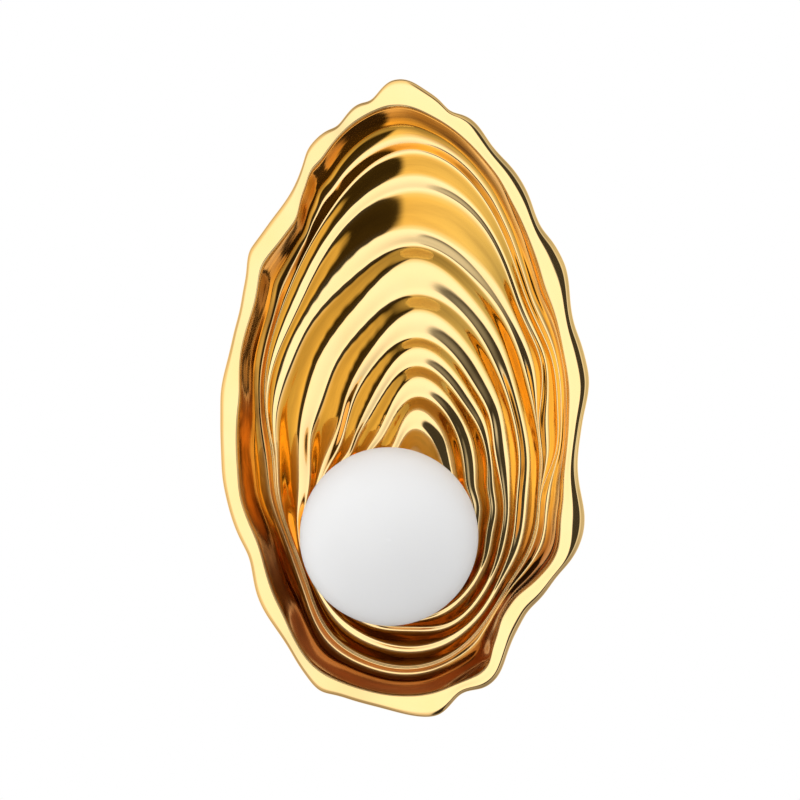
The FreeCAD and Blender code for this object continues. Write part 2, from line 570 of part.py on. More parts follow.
    def front_rows(self):
        """From the seat out to the crease."""
        rings = len(self.ridges) + 1
        rows = [self.row(lambda s: (s["crests"][-1], 0))]
        for ring in reversed(range(rings)):
            for phase in reversed(RIDGE_PHASES):
                rows.append(self.row(lambda s: self.inner(s, ring, phase)))
        return fuller(rows)

    def rim_rows(self):
        """From the crease over the rounded edge to the back of the crease."""
        wall = self.sheet.shell_wall
        rows = [self.row(lambda s: self.outer(s, step)) for step in RIM_STEPS]
        edge = ((0, 0), (0.8, 0.4), (1, 0.5 * wall), (0.8, wall - 0.4), (0, wall))
        for out, down in edge:
            rows.append(self.row(
                lambda s: (s["rim"] + EDGE_LIP * (out - 1), self.outer(s, 1)[1] - down)))
        for step in RIM_STEPS[-2::-2]:
            rows.append(self.row(lambda s: self.outer(s, step), -wall))
        rows.append(self.row(lambda s: self.inner(s, 0, 0, False), -wall))
        return rows

    def back_rows(self):
        """From behind the crease in to the back of the seat, smooth where the front is ridged."""
        wall = self.sheet.shell_wall
        rows = []
        for phase in BACK_PHASES:
            rows.append(self.row(lambda s: self.inner(s, 0, phase, False), -wall))
        for ring in range(1, len(self.ridges) + 1):
            rows.append(self.row(lambda s: self.inner(s, ring, 0, False), -wall))
        rows.append(self.row(lambda s: (s["crests"][-1], 0), -wall))
        return rows


def fuller(rows):
    """Rows moved out to where a surface that runs inside its poles still reaches the ridges' full height."""
    fixed = [rows[0]]
    for before, here, after in zip(rows, rows[1:], rows[2:]):
        fixed.append([Vector(p.x, p.y, p.z - (b.z - 2 * p.z + a.z) / 6) for b, p, a in zip(before, here, after)])
    return fixed + [rows[-1]]


def skin(rows):
    """A smooth surface over rows of points that close on themselves, as one face to a sector."""
    rounds = len(rows[0])
    surface = Part.BSplineSurface()
    knots = list(range(len(rows) - 2))
    mults = [4] + [1] * (len(knots) - 2) + [4]
    surface.buildFromPolesMultsKnots(
        rows, mults, [1] * (rounds + 1), knots, list(range(rounds + 1)), False, True, 3, 3)
    faces = []
    for sector in range(SECTORS):
        part = surface.copy()
        part.segment(0, knots[-1], rounds * sector / SECTORS, rounds * (sector + 1) / SECTORS)
        faces.append(part)
    return faces


def dish_solid(sheet):
    """The ridged shell without its rear pad: dish, rim and back, closed by two flat caps at the seat."""
    dish = Dish(sheet)
    front, rim, back = (skin(rows) for rows in (dish.front_rows(), dish.rim_rows(), dish.back_rows()))
    seat_front = Part.Face(Part.Wire([part.uIso(part.bounds()[0]).toShape() for part in front]))
    seat_back = Part.Face(Part.Wire([part.uIso(part.bounds()[1]).toShape() for part in back]))
    faces = [part.toShape() for part in front + rim + back] + [seat_front, seat_back]
    whole = Part.Compound(faces)
    whole.sewShape(0.001)
    solid = Part.makeSolid(whole.Shells[0])
    if solid.Volume < 0:
        solid.reverse()
    return solid


def screw_solid(doc, name, radius, length, head_radius, head_height):
    """A slotted screw along Z: its shank behind 0, its head in front."""
    shank = rod(doc, name + "_shank", radius, length, z=f"-({length})")
    head = rod(doc, name + "_head", head_radius, head_height)
    slot = block(doc, name + "_drive", f"2 * ({head_radius})", "drive_width", "drive_depth",
                 f"-({head_radius})", "-drive_width / 2", f"{head_height} - drive_depth")
    whole = joined(doc, name + "_blank", [shank, head])
    return cut(doc, name, whole, [slot])


def wall_bracket(doc):
    """A steel strap over the wall box, with two slots for the box's screws and an ear at each end."""
    reach, wall, top = EAR_REACH, "strap_wall", "ear_height"
    body = folded(doc, "bracket_strap", [
        (f"-{reach}", 0), (reach, 0), (reach, top), (f"{reach} - {wall}", top), (f"{reach} - {wall}", wall),
        (f"{wall} - {reach}", wall), (f"{wall} - {reach}", top), (f"-{reach}", top)], "strap_width")
    trims = []
    for side in (1, -1):
        for edge in (1, -1):
            corner = "ear_width / 2" if edge > 0 else "-strap_width / 2"
            end = f"{reach} - 3 * {wall}" if side > 0 else f"-{reach}"
            trims.append(block(doc, f"ear_trim_{side}_{edge}".replace("-", "n"), f"3 * {wall}",
                               "(strap_width - ear_width) / 2", f"2 * {top}", end, corner, f"-{top} / 2"))
    holes = [rod(doc, "supply_hole", "entry_radius", "3 * strap_wall", z="-strap_wall")]
    for side in ("+", "-"):
        name = "right" if side == "+" else "left"
        middle = f"{side}slot_spacing / 2"
        run = "slot_length / 2 - slot_width / 2"
        ends = [rod(doc, f"slot_{name}_{end}", "slot_width / 2", "3 * strap_wall", f"{middle} {way} ({run})",
                    z="-strap_wall") for end, way in (("out", "+"), ("in", "-"))]
        middle_cut = block(doc, f"slot_{name}_middle", "slot_length - slot_width", "slot_width",
                           "3 * strap_wall", f"{middle} - ({run})", "-slot_width / 2", "-strap_wall")
        holes += ends + [middle_cut]
    side_hole = rod(doc, "side_screw_holes", "screw_radius + screw_gap", f"3 * {reach}", f"-1.5 * {reach}",
                    z="side_height")
    side_hole.Placement.Rotation = FreeCAD.Rotation(Vector(0, 1, 0), 90)
    earth = rod(doc, "earth_hole", "screw_radius + screw_gap", "3 * strap_wall", "earth_offset", z="-strap_wall")
    fixing = rod(doc, "block_hole", "fixing_radius + screw_gap", "3 * strap_wall", BLOCK_MIDDLE,
                 z="-strap_wall")
    return cut(doc, "wall_bracket", body, trims + holes + [side_hole, earth, fixing])


def back_pan(doc):
    """A drawn steel pan, open to the wall, with holes for the pipe and for the screws."""
    corner = "pan_corner"
    inner = "(pan_radius - pan_wall)"
    body = turned(doc, "pan_drawing", [
        ("pan_radius", 0), ("pan_radius", f"pan_depth - {corner}"), (f"pan_radius - {corner}", "pan_depth"),
        (PIPE_HOLE, "pan_depth"), (PIPE_HOLE, PAN_INSIDE), (f"{inner} - {corner}", PAN_INSIDE),
        (inner, f"{PAN_INSIDE} - {corner}"), (inner, 0)])
    holes = []
    for index, (x, y) in enumerate(MOUNT_SPOTS):
        holes.append(rod(doc, f"pan_mount_hole_{index}", "screw_radius + screw_gap", "3 * pan_wall", x, y,
                         f"{PAN_INSIDE} - pan_wall"))
    holes.append(rod(doc, "pan_earth_hole", "screw_radius + screw_gap", "3 * pan_wall", "pan_earth_x",
                     "-pan_earth_y", f"{PAN_INSIDE} - pan_wall"))
    side = rod(doc, "pan_side_holes", "screw_radius + screw_gap", "3 * pan_radius", "-1.5 * pan_radius",
               z="side_height")
    side.Placement.Rotation = FreeCAD.Rotation(Vector(0, 1, 0), 90)
    return cut(doc, "back_pan", body, holes + [side])


def pan_side_screws(doc):
    screws = []
    for name, side, turn in (("right", "", 90), ("left", "-", -90)):
        screw = screw_solid(doc, f"side_screw_{name}", "screw_radius", "side_length", "head_radius",
                            "head_height")
        screw.Placement.Rotation = FreeCAD.Rotation(Vector(0, 1, 0), turn)
        screws.append(place(screw, f"{side}pan_radius", z="side_height"))
    return group(doc, "pan_side_screws", screws)


def earth_screws(doc):
    bracket = screw_solid(doc, "bracket_screw", "screw_radius", "strap_wall + lug_wall", "head_radius",
                          "head_height")
    place(bracket, "earth_offset", z="strap_wall + lug_wall")
    pan = screw_solid(doc, "pan_screw", "screw_radius", "lug_wall + 2 * pan_wall", "head_radius", "head_height")
    pan.Placement.Rotation = FreeCAD.Rotation(Vector(1, 0, 0), 180)
    place(pan, "pan_earth_x", "-pan_earth_y", f"{PAN_INSIDE} - lug_wall")
    return [group(doc, "ground_screw", [bracket]), group(doc, "pan_ground_screw", [pan])]


def shell(doc, sheet):
    """The cast dish with its rear pad, drilled for the pipe and tapped for the three screws behind."""
    dish = doc.addObject("Part::Feature", "dish")
    dish.Shape = dish_solid(sheet)
    dish.Placement.Base = Vector(0, 0, sheet.pan_depth + sheet.seat_thickness)
    pad = rod(doc, "shell_pad", "pad_radius", "seat_thickness - shell_wall / 2", z="pan_depth")
    holes = [rod(doc, "shell_pipe_hole", PIPE_HOLE, "3 * seat_thickness", z="pan_depth - seat_thickness")]
    for index, (x, y) in enumerate(MOUNT_SPOTS):
        holes.append(rod(doc, f"shell_mount_hole_{index}", "screw_radius + screw_gap", "2 * mount_bite + drive_depth",
                         x, y, "pan_depth - mount_bite"))
    return cut(doc, "shell", joined(doc, "shell_casting", [dish, pad]), holes)


def shell_screws(doc):
    screws = []
    for index, (x, y) in enumerate(MOUNT_SPOTS):
        screw = screw_solid(doc, f"mount_screw_{index}", "screw_radius", "pan_wall + mount_bite", "head_radius",
                            "head_height")
        screw.Placement.Rotation = FreeCAD.Rotation(Vector(1, 0, 0), 180)
        screws.append(place(screw, x, y, PAN_INSIDE))
    return group(doc, "shell_screws", screws)


def hex_nut(doc, label, back):
    nut = place(tie(doc.addObject("Part::Prism", label + "_blank"),
                    {"Circumradius": "nut_corner", "Height": "nut_height"}), z=back)
    nut.Polygon = 6
    return cut(doc, label, nut, [rod(doc, label + "_hole", PIPE_HOLE, "3 * nut_height", z=f"{back} - nut_height")])


def tube(doc, label, outer, bore, back, front):
    return turned(doc, label, [(bore, back), (outer, back), (outer, front), (bore, front)])


def pipe_parts(doc):
    """The hollow threaded pipe with its nuts, washer and the plastic liners in its ends."""
    washer_back = f"{PAN_INSIDE} - washer_wall"
    parts = [
        tube(doc, "lamp_pipe", "pipe_radius", "pipe_bore", "pipe_stand", PIPE_FRONT),
        tube(doc, "pipe_washer", "washer_radius", PIPE_HOLE, washer_back, PAN_INSIDE),
        hex_nut(doc, "pipe_nut_rear", f"{washer_back} - nut_height"),
        hex_nut(doc, "pipe_nut_front", f"{HOLDER_FLOOR} + saddle_wall"),
    ]
    liners = []
    for name, end, way in (("rear", "pipe_stand", "+"), ("front", PIPE_FRONT, "-")):
        back = "-" if way == "+" else "+"
        snug = "pipe_bore - screw_gap"
        liners.append(turned(doc, f"liner_{name}", [
            ("liner_bore", f"{end} {back} liner_flange"), ("pipe_radius - screw_gap", f"{end} {back} liner_flange"),
            ("pipe_radius - screw_gap", end), (snug, end), (snug, f"{end} {way} liner_reach"),
            ("liner_bore", f"{end} {way} liner_reach")]))
    return parts + [group(doc, "pipe_bushings", liners)]


def globe_holder(doc):
    """A turned cup on the shell's seat: a shoulder for the gasket and a threaded neck for the globe."""
    return turned(doc, "globe_holder", [
        (PIPE_HOLE, SEAT), ("holder_radius", SEAT), ("holder_radius", SHOULDER), ("neck_radius", SHOULDER),
        ("neck_radius", NECK_FRONT), (NECK_BORE, NECK_FRONT), (NECK_BORE, HOLDER_FLOOR),
        (PIPE_HOLE, HOLDER_FLOOR)])


def lampholder_bracket(doc):
    """A steel saddle under the front nut, its legs turned in to carry the lampholder."""
    reach, wall = "saddle_reach", "saddle_wall"
    inner, tab = f"({reach} - {wall})", "(saddle_reach / 2)"
    low, high = HOLDER_FLOOR, SADDLE_TOP
    body = folded(doc, "saddle_strap", [
        (f"-{reach}", low), (reach, low), (reach, high), (tab, high), (tab, f"{high} - {wall}"),
        (inner, f"{high} - {wall}"), (inner, f"{low} + {wall}"), (f"-{inner}", f"{low} + {wall}"),
        (f"-{inner}", f"{high} - {wall}"), (f"-{tab}", f"{high} - {wall}"), (f"-{tab}", high),
        (f"-{reach}", high)], "saddle_width")
    body.Placement.Rotation = FreeCAD.Rotation(Vector(0, 0, 1), 90)
    holes = [rod(doc, "saddle_pipe_hole", PIPE_HOLE, "3 * saddle_wall", z=f"{low} - saddle_wall")]
    for name, side in (("upper", ""), ("lower", "-")):
        holes.append(rod(doc, f"saddle_hole_{name}", "small_radius + screw_gap", "3 * saddle_wall",
                         y=f"{side}small_offset", z=f"{high} - 2 * saddle_wall"))
    return cut(doc, "lampholder_bracket", body, holes)


def lampholder(doc):
    """The ceramic lampholder, its two contacts and the two screws that hold it on the saddle."""
    blank = rod(doc, "socket_blank", "socket_radius", "socket_height", z=SADDLE_TOP)
    tools, contacts, screws = [], [], []
    wide, thick = "(contact_width / 2 + pocket_gap)", "(pin_wire + pin_gap + contact_wall + pocket_gap)"
    for name, side in (("right", ""), ("left", "-")):
        middle = f"{side}pin_spacing / 2"
        tools.append(block(doc, f"pocket_{name}", f"2 * {wide}", f"2 * {thick}", "socket_height",
                           f"{middle} - {wide}", f"-{thick}", CONTACT_BACK))
        tools.append(rod(doc, f"lead_hole_{name}", "lead_radius + screw_gap", "2 * socket_height", middle,
                         z=f"{SADDLE_TOP} - socket_height / 2"))
        leaf = "(pin_wire + pin_gap + contact_wall)"
        fork = block(doc, f"contact_{name}_fork", "contact_width", f"2 * {leaf}", "contact_height",
                     f"{middle} - contact_width / 2", f"-{leaf}", CONTACT_BACK)
        gap = block(doc, f"contact_{name}_gap", "2 * contact_width", "2 * (pin_wire + pin_gap)",
                    "contact_height", f"{middle} - contact_width", "-(pin_wire + pin_gap)",
                    f"{CONTACT_BACK} + contact_wall")
        contacts.append(cut(doc, f"contact_{name}", fork, [gap]))
    for name, side in (("upper", ""), ("lower", "-")):
        spot = f"{side}small_offset"
        tools.append(rod(doc, f"socket_hole_{name}", "small_radius + screw_gap", "2 * socket_height", y=spot,
                         z=f"{SADDLE_TOP} - socket_height / 2"))
        tools.append(rod(doc, f"socket_sink_{name}", f"{SMALL_HEAD} + pocket_gap", "socket_height", y=spot,
                         z=f"{SOCKET_FRONT} - drive_depth - 2 * drive_width"))
        screw = screw_solid(doc, f"socket_screw_{name}", "small_radius",
                            "socket_height - drive_depth - 2 * drive_width + saddle_wall",
                            SMALL_HEAD, "2 * drive_width")
        screws.append(place(screw, y=spot, z=f"{SOCKET_FRONT} - drive_depth - 2 * drive_width"))
    return [cut(doc, "lampholder_body", blank, tools), group(doc, "lampholder_contacts", contacts),
            group(doc, "lampholder_screws", screws)]


def terminal_block(doc):
    """A two-pole connector on the bracket: housing, brass clamps, their screws and its fixing screw."""
    near = "-(block_inner + block_width)"
    blank = block(doc, "block_blank", "block_width", "block_length", "block_height", near,
                  "-block_length / 2", "strap_wall")
    tools = [
        rod(doc, "block_fixing_hole", "fixing_radius + screw_gap", "2 * block_height", BLOCK_MIDDLE),
        rod(doc, "block_fixing_sink", "fixing_head + screw_gap", "block_height", BLOCK_MIDDLE,
            z=f"{BLOCK_TOP} - fixing_sink"),
    ]
    clamps, grubs = [], []
    for name, side in (("inner", "+"), ("outer", "-")):
        pole = f"{BLOCK_MIDDLE} {side} pole_spacing / 2"
        long = "(block_length - 2 * clamp_inset)"
        barrel = rod(doc, f"clamp_{name}_barrel", "clamp_radius", long, pole, f"{long} / 2", CLAMP_LEVEL)
        bore = rod(doc, f"clamp_{name}_bore", "clamp_bore", f"2 * {long}", pole, long, CLAMP_LEVEL)
        tunnel = rod(doc, f"tunnel_{name}", "clamp_radius + screw_gap", "2 * block_length", pole,
                     "block_length", CLAMP_LEVEL)
        for part in (barrel, bore, tunnel):
            part.Placement.Rotation = FreeCAD.Rotation(Vector(1, 0, 0), 90)
        tools.append(tunnel)
        clamp_cuts = [bore]
        for end, way in (("top", ""), ("bottom", "-")):
            spot = f"{way}grub_spacing / 2"
            clamp_cuts.append(rod(doc, f"grub_hole_{name}_{end}", "grub_radius + screw_gap", "block_height", pole,
                                  spot, CLAMP_LEVEL))
            tools.append(rod(doc, f"grub_well_{name}_{end}", GRUB_WELL, "block_height", pole, spot,
                             CLAMP_LEVEL))
            grub = rod(doc, f"grub_{name}_{end}_blank", "grub_radius", "grub_length", pole, spot,
                       f"{CLAMP_LEVEL} + lead_radius + screw_gap")
            drive = block(doc, f"grub_{name}_{end}_drive", "2 * grub_radius", "drive_width / 2", "drive_depth",
                          f"{pole} - grub_radius", f"{spot} - drive_width / 4",
                          f"{CLAMP_LEVEL} + lead_radius + screw_gap + grub_length - drive_depth / 2")
            grubs.append(cut(doc, f"grub_{name}_{end}", grub, [drive]))
        clamps.append(cut(doc, f"clamp_{name}", barrel, clamp_cuts))
    fixing = screw_solid(doc, "block_screw", "fixing_radius", f"{BLOCK_TOP} - fixing_sink", "fixing_head",
                         "fixing_sink - screw_gap")
    place(fixing, BLOCK_MIDDLE, z=f"{BLOCK_TOP} - fixing_sink")
    return [cut(doc, "terminal_block", blank, tools), group(doc, "terminal_clamps", clamps),
            group(doc, "terminal_screws", grubs), group(doc, "terminal_block_screw", [fixing])]


def wire_solid(points, radius):
    """A lead along straight runs joined by tangent arcs, each as large as its two runs allow."""
    edges = []
    start = points[0]
    for before, corner, after in zip(points, points[1:], points[2:]):
        way_in = (corner - before).normalize()
        way_out = (after - corner).normalize()
        turn = way_in.getAngle(way_out)
        back = 0.45 * min((corner - before).Length, (after - corner).Length)
        bend = back / math.tan(turn / 2)
        enter, leave = corner - way_in * back, corner + way_out * back
        inward = (way_out - way_in).normalize()
        middle = corner + inward * (bend / math.cos(turn / 2) - bend)
        edges += [Part.LineSegment(start, enter).toShape(), Part.Arc(enter, middle, leave).toShape()]
        start = leave
        print(f"lead bend {bend:.1f} mm")
    edges.append(Part.LineSegment(start, points[-1]).toShape())
    path = Part.Wire(edges)
    ring = Part.Wire([Part.makeCircle(radius, points[0], points[1] - points[0])])
    lead = path.makePipeShell([ring], True, False)
    print(f"lead volume over section times length: {lead.Volume / (math.pi * radius ** 2 * path.Length):.4f}")
    return lead


def leads(doc, sheet):
    """The live and neutral leads from the terminal block through the pipe, and the earth lead with its lugs."""
    radius = sheet.lead_radius
    middle = -(sheet.block_inner + sheet.block_width / 2)
    level = sheet.strap_wall + sheet.clamp_height
    pipe_front = sheet.pipe_stand + sheet.pipe_length
    contact = sheet.pan_depth + sheet.seat_thickness + sheet.holder_base + sheet.saddle_height + sheet.socket_floor
    low = -sheet.block_length / 2
    parts = []
    for name, side, drop in (("live", 1, sheet.live_drop), ("neutral", -1, sheet.neutral_drop)):
        pole = middle - side * sheet.pole_spacing / 2
        across = side * (sheet.liner_bore - radius - sheet.lead_gap)
        flare = side * sheet.pin_spacing / 2
        points = [
            Vector(pole, -sheet.clamp_inset, level), Vector(pole, low - drop, level),
            Vector(across, low - drop, level), Vector(across, 0, level),
            Vector(across, 0, pipe_front + 1.5 * sheet.liner_flange), Vector(flare, 0, contact - 4 * radius),
            Vector(flare, 0, contact),
        ]
        lead = doc.addObject("Part::Feature", "lead_" + name)
        lead.Shape = wire_solid(points, radius)
        parts.append(lead)
    return parts


def ground_lead(doc, sheet):
    """The earth lead from the bracket to the pan, with a ring terminal at each end."""
    radius, lug = sheet.lead_radius, sheet.lug_radius
    inside = sheet.pan_depth - sheet.pan_wall
    tongue = 2 * lug
    low = sheet.strap_wall + sheet.lug_wall
    high = inside - sheet.lug_wall
    rise = radius - sheet.lug_crimp
    right, down = sheet.pan_earth_x, sheet.pan_earth_y
    points = [
        Vector(sheet.earth_offset, -tongue / 2, low + rise), Vector(sheet.earth_offset, -2 * tongue, low + rise),
        Vector(right, tongue * 2 - down, high - rise), Vector(right, tongue / 2 - down, high - rise),
    ]
    shapes = [wire_solid(points, radius)]
    spots = ((sheet.earth_offset, 0, sheet.strap_wall, -1), (right, -down, high, 1))
    for x, y, z, way in spots:
        ring = Part.makeCylinder(lug, sheet.lug_wall, Vector(x, y, z))
        left, width = x - radius, 2 * radius
        strip = Part.makeBox(width, tongue, sheet.lug_wall, Vector(left, min(y, y + way * tongue), z))
        hole = Part.makeCylinder(sheet.screw_radius + sheet.screw_gap, 3 * sheet.lug_wall,
                                 Vector(x, y, z - sheet.lug_wall))
        shapes.append(ring.fuse(strip).cut(hole))
    lead = doc.addObject("Part::Feature", "ground_lead")
    lead.Shape = shapes[0].fuse(shapes[1:]).removeSplitter()
    return lead


def globe(doc):
    """The opal ball with its mouth, the collar it is bonded to, the bond and the gasket."""
    ball = place(tie(doc.addObject("Part::Sphere", "glass_ball"), {"Radius": "globe_radius"}), z=GLOBE_CENTRE)
    hollow = place(tie(doc.addObject("Part::Sphere", "glass_hollow"), {"Radius": "globe_radius - glass_wall"}),
                   z=GLOBE_CENTRE)
    mouth = rod(doc, "glass_mouth", "globe_radius", "globe_radius", z=f"{MOUTH} - globe_radius")
    bore = f"({LIP_RADIUS} - lip_wall)"
    collar = turned(doc, "globe_collar", [
        (COLLAR_BORE, COLLAR_BACK), ("collar_radius", COLLAR_BACK), ("collar_radius", FLANGE_FRONT),
        (LIP_RADIUS, FLANGE_FRONT), (LIP_RADIUS, f"{FLANGE_FRONT} + lip_height"),
        (bore, f"{FLANGE_FRONT} + lip_height"), (bore, FLANGE_BACK), (COLLAR_BORE, FLANGE_BACK)])
    edge = f"(sqrt(globe_radius^2 - ({GLOBE_CENTRE} - {MOUTH})^2))"
    return [
        cut(doc, "globe_glass", ball, [hollow, mouth]), collar,
        tube(doc, "globe_bond", edge, "mouth_radius", FLANGE_FRONT, MOUTH),
        tube(doc, "globe_gasket", "holder_radius - gasket_inset", "neck_radius + gasket_inset", GASKET_BACK,
             f"{GASKET_BACK} + gasket_height"),
    ]


def lamp(doc):
    """The capsule lamp: envelope, base, two looped pins and the light source inside."""
    inner = "(lamp_radius - lamp_wall)"
    dome = f"({LAMP_REST} + lamp_length)"
    outer_parts = [rod(doc, "envelope_body", "lamp_radius", "lamp_length", z=LAMP_REST),
                   place(tie(doc.addObject("Part::Sphere", "envelope_dome"), {"Radius": "lamp_radius"}), z=dome)]
    inner_parts = [rod(doc, "envelope_hollow", inner, "lamp_length + lamp_radius / 2",
                       z=f"{LAMP_REST} - lamp_radius / 2"),
                   place(tie(doc.addObject("Part::Sphere", "envelope_dome_hollow"), {"Radius": inner}), z=dome)]
    envelope = cut(doc, "lamp_envelope", joined(doc, "envelope_blank", outer_parts), inner_parts)
    plug = f"({inner} - screw_gap)"
    base = turned(doc, "lamp_base", [
        (0, LAMP_BACK), ("lamp_radius - lamp_wall / 2", LAMP_BACK), ("lamp_radius - lamp_wall / 2", LAMP_REST),
        (plug, LAMP_REST), (plug, f"{LAMP_REST} + base_plug"), (0, f"{LAMP_REST} + base_plug")])
    core = place(tie(doc.addObject("Part::Prism", "core_rod"),
                     {"Circumradius": "core_radius", "Height": "core_length"}), z=f"{LAMP_REST} + base_plug")
    core.Polygon = 6
    pins = []
    for name, side in (("right", ""), ("left", "-")):
        middle = f"{side}pin_spacing / 2"
        back = f"({LAMP_BACK} - pin_length)"
        legs = [rod(doc, f"pin_{name}_{leg}", "pin_wire", "pin_length", f"{middle} {way} pin_loop", z=back)
                for leg, way in (("right", "+"), ("left", "-"))]
        bend = place(tie(doc.addObject("Part::Torus", f"pin_{name}_bend"),
                         {"Radius1": "pin_loop", "Radius2": "pin_wire", "Angle3": "180"}), middle, z=back)
        bend.Placement.Rotation = FreeCAD.Rotation(Vector(1, 0, 0), -90)
        pins.append(joined(doc, f"pin_{name}", legs + [bend]))
    return [envelope, base, group(doc, "lamp_pins", pins), group(doc, "lamp_led_core", [core])]


def build():
    """Make the document and return the pieces that are written, one to a node."""
    doc = FreeCAD.newDocument("shell_wall_sconce")
    sheet = make_sheet(doc)
    pieces = [wall_bracket(doc), back_pan(doc), pan_side_screws(doc), *earth_screws(doc), shell(doc, sheet),
              shell_screws(doc), *pipe_parts(doc), globe_holder(doc), lampholder_bracket(doc), *lampholder(doc),
              *terminal_block(doc), *leads(doc, sheet), ground_lead(doc, sheet), *globe(doc), *lamp(doc)]
    for piece in pieces:
        piece.Placement = UPRIGHT
    doc.recompute()
    return doc, pieces


def check(doc, pieces):
    """Stop if any object failed to compute or any piece isn't sound."""
    for thing in doc.Objects:
        if {"Invalid", "Error"} & set(thing.State):
            raise RuntimeError(f"{thing.Label} failed: {thing.State}")
    for piece in pieces:
        if piece.Shape.isNull() or not piece.Shape.isValid() or not piece.Shape.Solids:
            raise RuntimeError(f"{piece.Label} has no sound solid")


def write(pieces):
    os.makedirs("parts", exist_ok=True)
    for piece in pieces:
        piece.Shape.exportStep(f"parts/{piece.Label}.step")
        box = piece.Shape.BoundBox
        print(f"{piece.Label}: {len(piece.Shape.Solids)} solid, {piece.Shape.Volume:.0f} mm3, "
              f"{box.XLength:.1f} x {box.YLength:.1f} x {box.ZLength:.1f} mm")


def main():
    doc, pieces = build()
    check(doc, pieces)
    write(pieces)


main()
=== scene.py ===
"""Looks of the shell wall sconce: the polished gold dish, the matte opal globe and every part's finish."""
import bisect
import json
import math

import bpy
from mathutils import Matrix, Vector


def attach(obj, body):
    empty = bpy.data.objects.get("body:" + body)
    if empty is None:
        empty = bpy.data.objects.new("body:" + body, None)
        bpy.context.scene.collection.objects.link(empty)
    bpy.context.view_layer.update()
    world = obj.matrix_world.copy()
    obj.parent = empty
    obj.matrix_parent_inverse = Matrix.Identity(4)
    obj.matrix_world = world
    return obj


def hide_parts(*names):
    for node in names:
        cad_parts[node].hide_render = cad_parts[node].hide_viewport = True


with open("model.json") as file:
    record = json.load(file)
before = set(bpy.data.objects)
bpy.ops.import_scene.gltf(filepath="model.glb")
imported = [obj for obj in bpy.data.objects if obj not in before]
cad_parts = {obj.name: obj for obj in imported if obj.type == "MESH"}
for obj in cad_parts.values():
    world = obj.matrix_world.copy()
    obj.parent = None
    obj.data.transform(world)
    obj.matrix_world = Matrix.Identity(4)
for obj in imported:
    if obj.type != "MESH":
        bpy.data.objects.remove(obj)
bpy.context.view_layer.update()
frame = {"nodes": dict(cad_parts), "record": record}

MM = 0.001

# ---------------------------------------------------------------- the shell's form, in millimetres
# The rim's outline seen from the front, clockwise from its top: right of and above the beak of the shell.
RIM = [
    (-1.5, 276), (9, 270), (19, 262.5), (25, 256.5), (32.5, 253.5), (40, 250), (46, 244), (52.5, 234.5),
    (59.5, 226), (67, 218), (73.5, 209), (79.5, 197), (83, 187), (87, 178), (94.5, 168), (100, 159),
    (104, 149.5), (106, 138.5), (107, 127), (109.5, 112.5), (113.5, 101), (117.5, 87), (119.5, 74),
    (118.5, 62.5), (116, 50.5), (114, 38.5), (112.5, 27), (112, 13.5), (114, -1.5), (116.5, -17), (116, -27),
    (112.5, -38.5), (106.5, -48.5), (98, -58.5), (87, -73), (78, -82.5), (73, -91), (68, -101), (64, -111.5),
    (59.5, -123), (54.5, -129.5), (46.5, -134), (37, -136), (31.5, -139), (25.5, -145.5), (19, -151),
    (11, -153), (2, -152.5), (-8, -150.5), (-21.5, -147), (-38.5, -142.5), (-52, -138.5), (-62, -135.5),
    (-70, -127.5), (-77, -117.5), (-83.5, -106.5), (-92.5, -93), (-101, -79.5), (-105.5, -68), (-108, -55.5),
    (-110.5, -45), (-116, -33.5), (-121.5, -20), (-125.5, -5.5), (-128, 8), (-129, 23.5), (-129.5, 40.5),
    (-129.5, 54), (-129, 67.5), (-126, 82.5), (-123, 94.5), (-119.5, 109.5), (-116, 123.5), (-114, 135),
    (-112, 147), (-110, 160.5), (-106.5, 166.5), (-101, 174), (-94.5, 183), (-87, 193), (-81, 202.5),
    (-77, 211), (-73.5, 221), (-71, 228.5), (-67.5, 234), (-62, 239.5), (-56.5, 243), (-50.5, 246),
    (-46.5, 250.5), (-40.5, 257.5), (-34.5, 261), (-27.5, 263.5), (-21.5, 270), (-16, 275), (-10, 277),
]
# The crease where the rim drops into the dish, in the same way.
CREASE = [
    (2, 257.5), (12, 253), (22.5, 247), (32.5, 239.5), (42.5, 230), (52.5, 218.5), (59.5, 209), (66, 197),
    (73, 183.5), (79.5, 168.5), (85.5, 152), (89.5, 138.5), (94.5, 125), (98.5, 111.5), (102, 94.5),
    (104.5, 81), (106, 67.5), (106, 54), (105.5, 40.5), (104, 23.5), (102.5, 6.5), (102, -6.5), (100.5, -20),
    (100, -30.5), (98.5, -40.5), (94.5, -49), (87.5, -57.5), (79.5, -65), (71.5, -71.5), (65, -79.5),
    (60, -89), (57.5, -98), (54.5, -108), (52.5, -116), (48.5, -122), (39, -127.5), (29, -131.5), (19, -135.5),
    (5.5, -138.5), (-4.5, -139), (-15, -138.5), (-28.5, -136), (-42, -132), (-52, -128), (-60.5, -123.5),
    (-69, -116.5), (-75.5, -108), (-81, -98), (-87, -84.5), (-92.5, -73), (-98, -58), (-101, -47),
    (-104.5, -35.5), (-110, -22.5), (-114, -12), (-116.5, -1.5), (-117.5, 10), (-118.5, 27), (-118.5, 40.5),
    (-117.5, 54), (-116.5, 64), (-116.5, 77.5), (-115.5, 93), (-112, 108), (-109.5, 116), (-106, 128),
    (-104, 139.5), (-102, 149.5), (-98.5, 156), (-90.5, 166), (-82.5, 176.5), (-77.5, 185.5), (-75, 196.5),
    (-72, 205.5), (-69, 214), (-62, 222.5), (-55.5, 231.5), (-45, 243.5), (-35, 251), (-21.5, 257.5),
    (-8, 259.5),
]
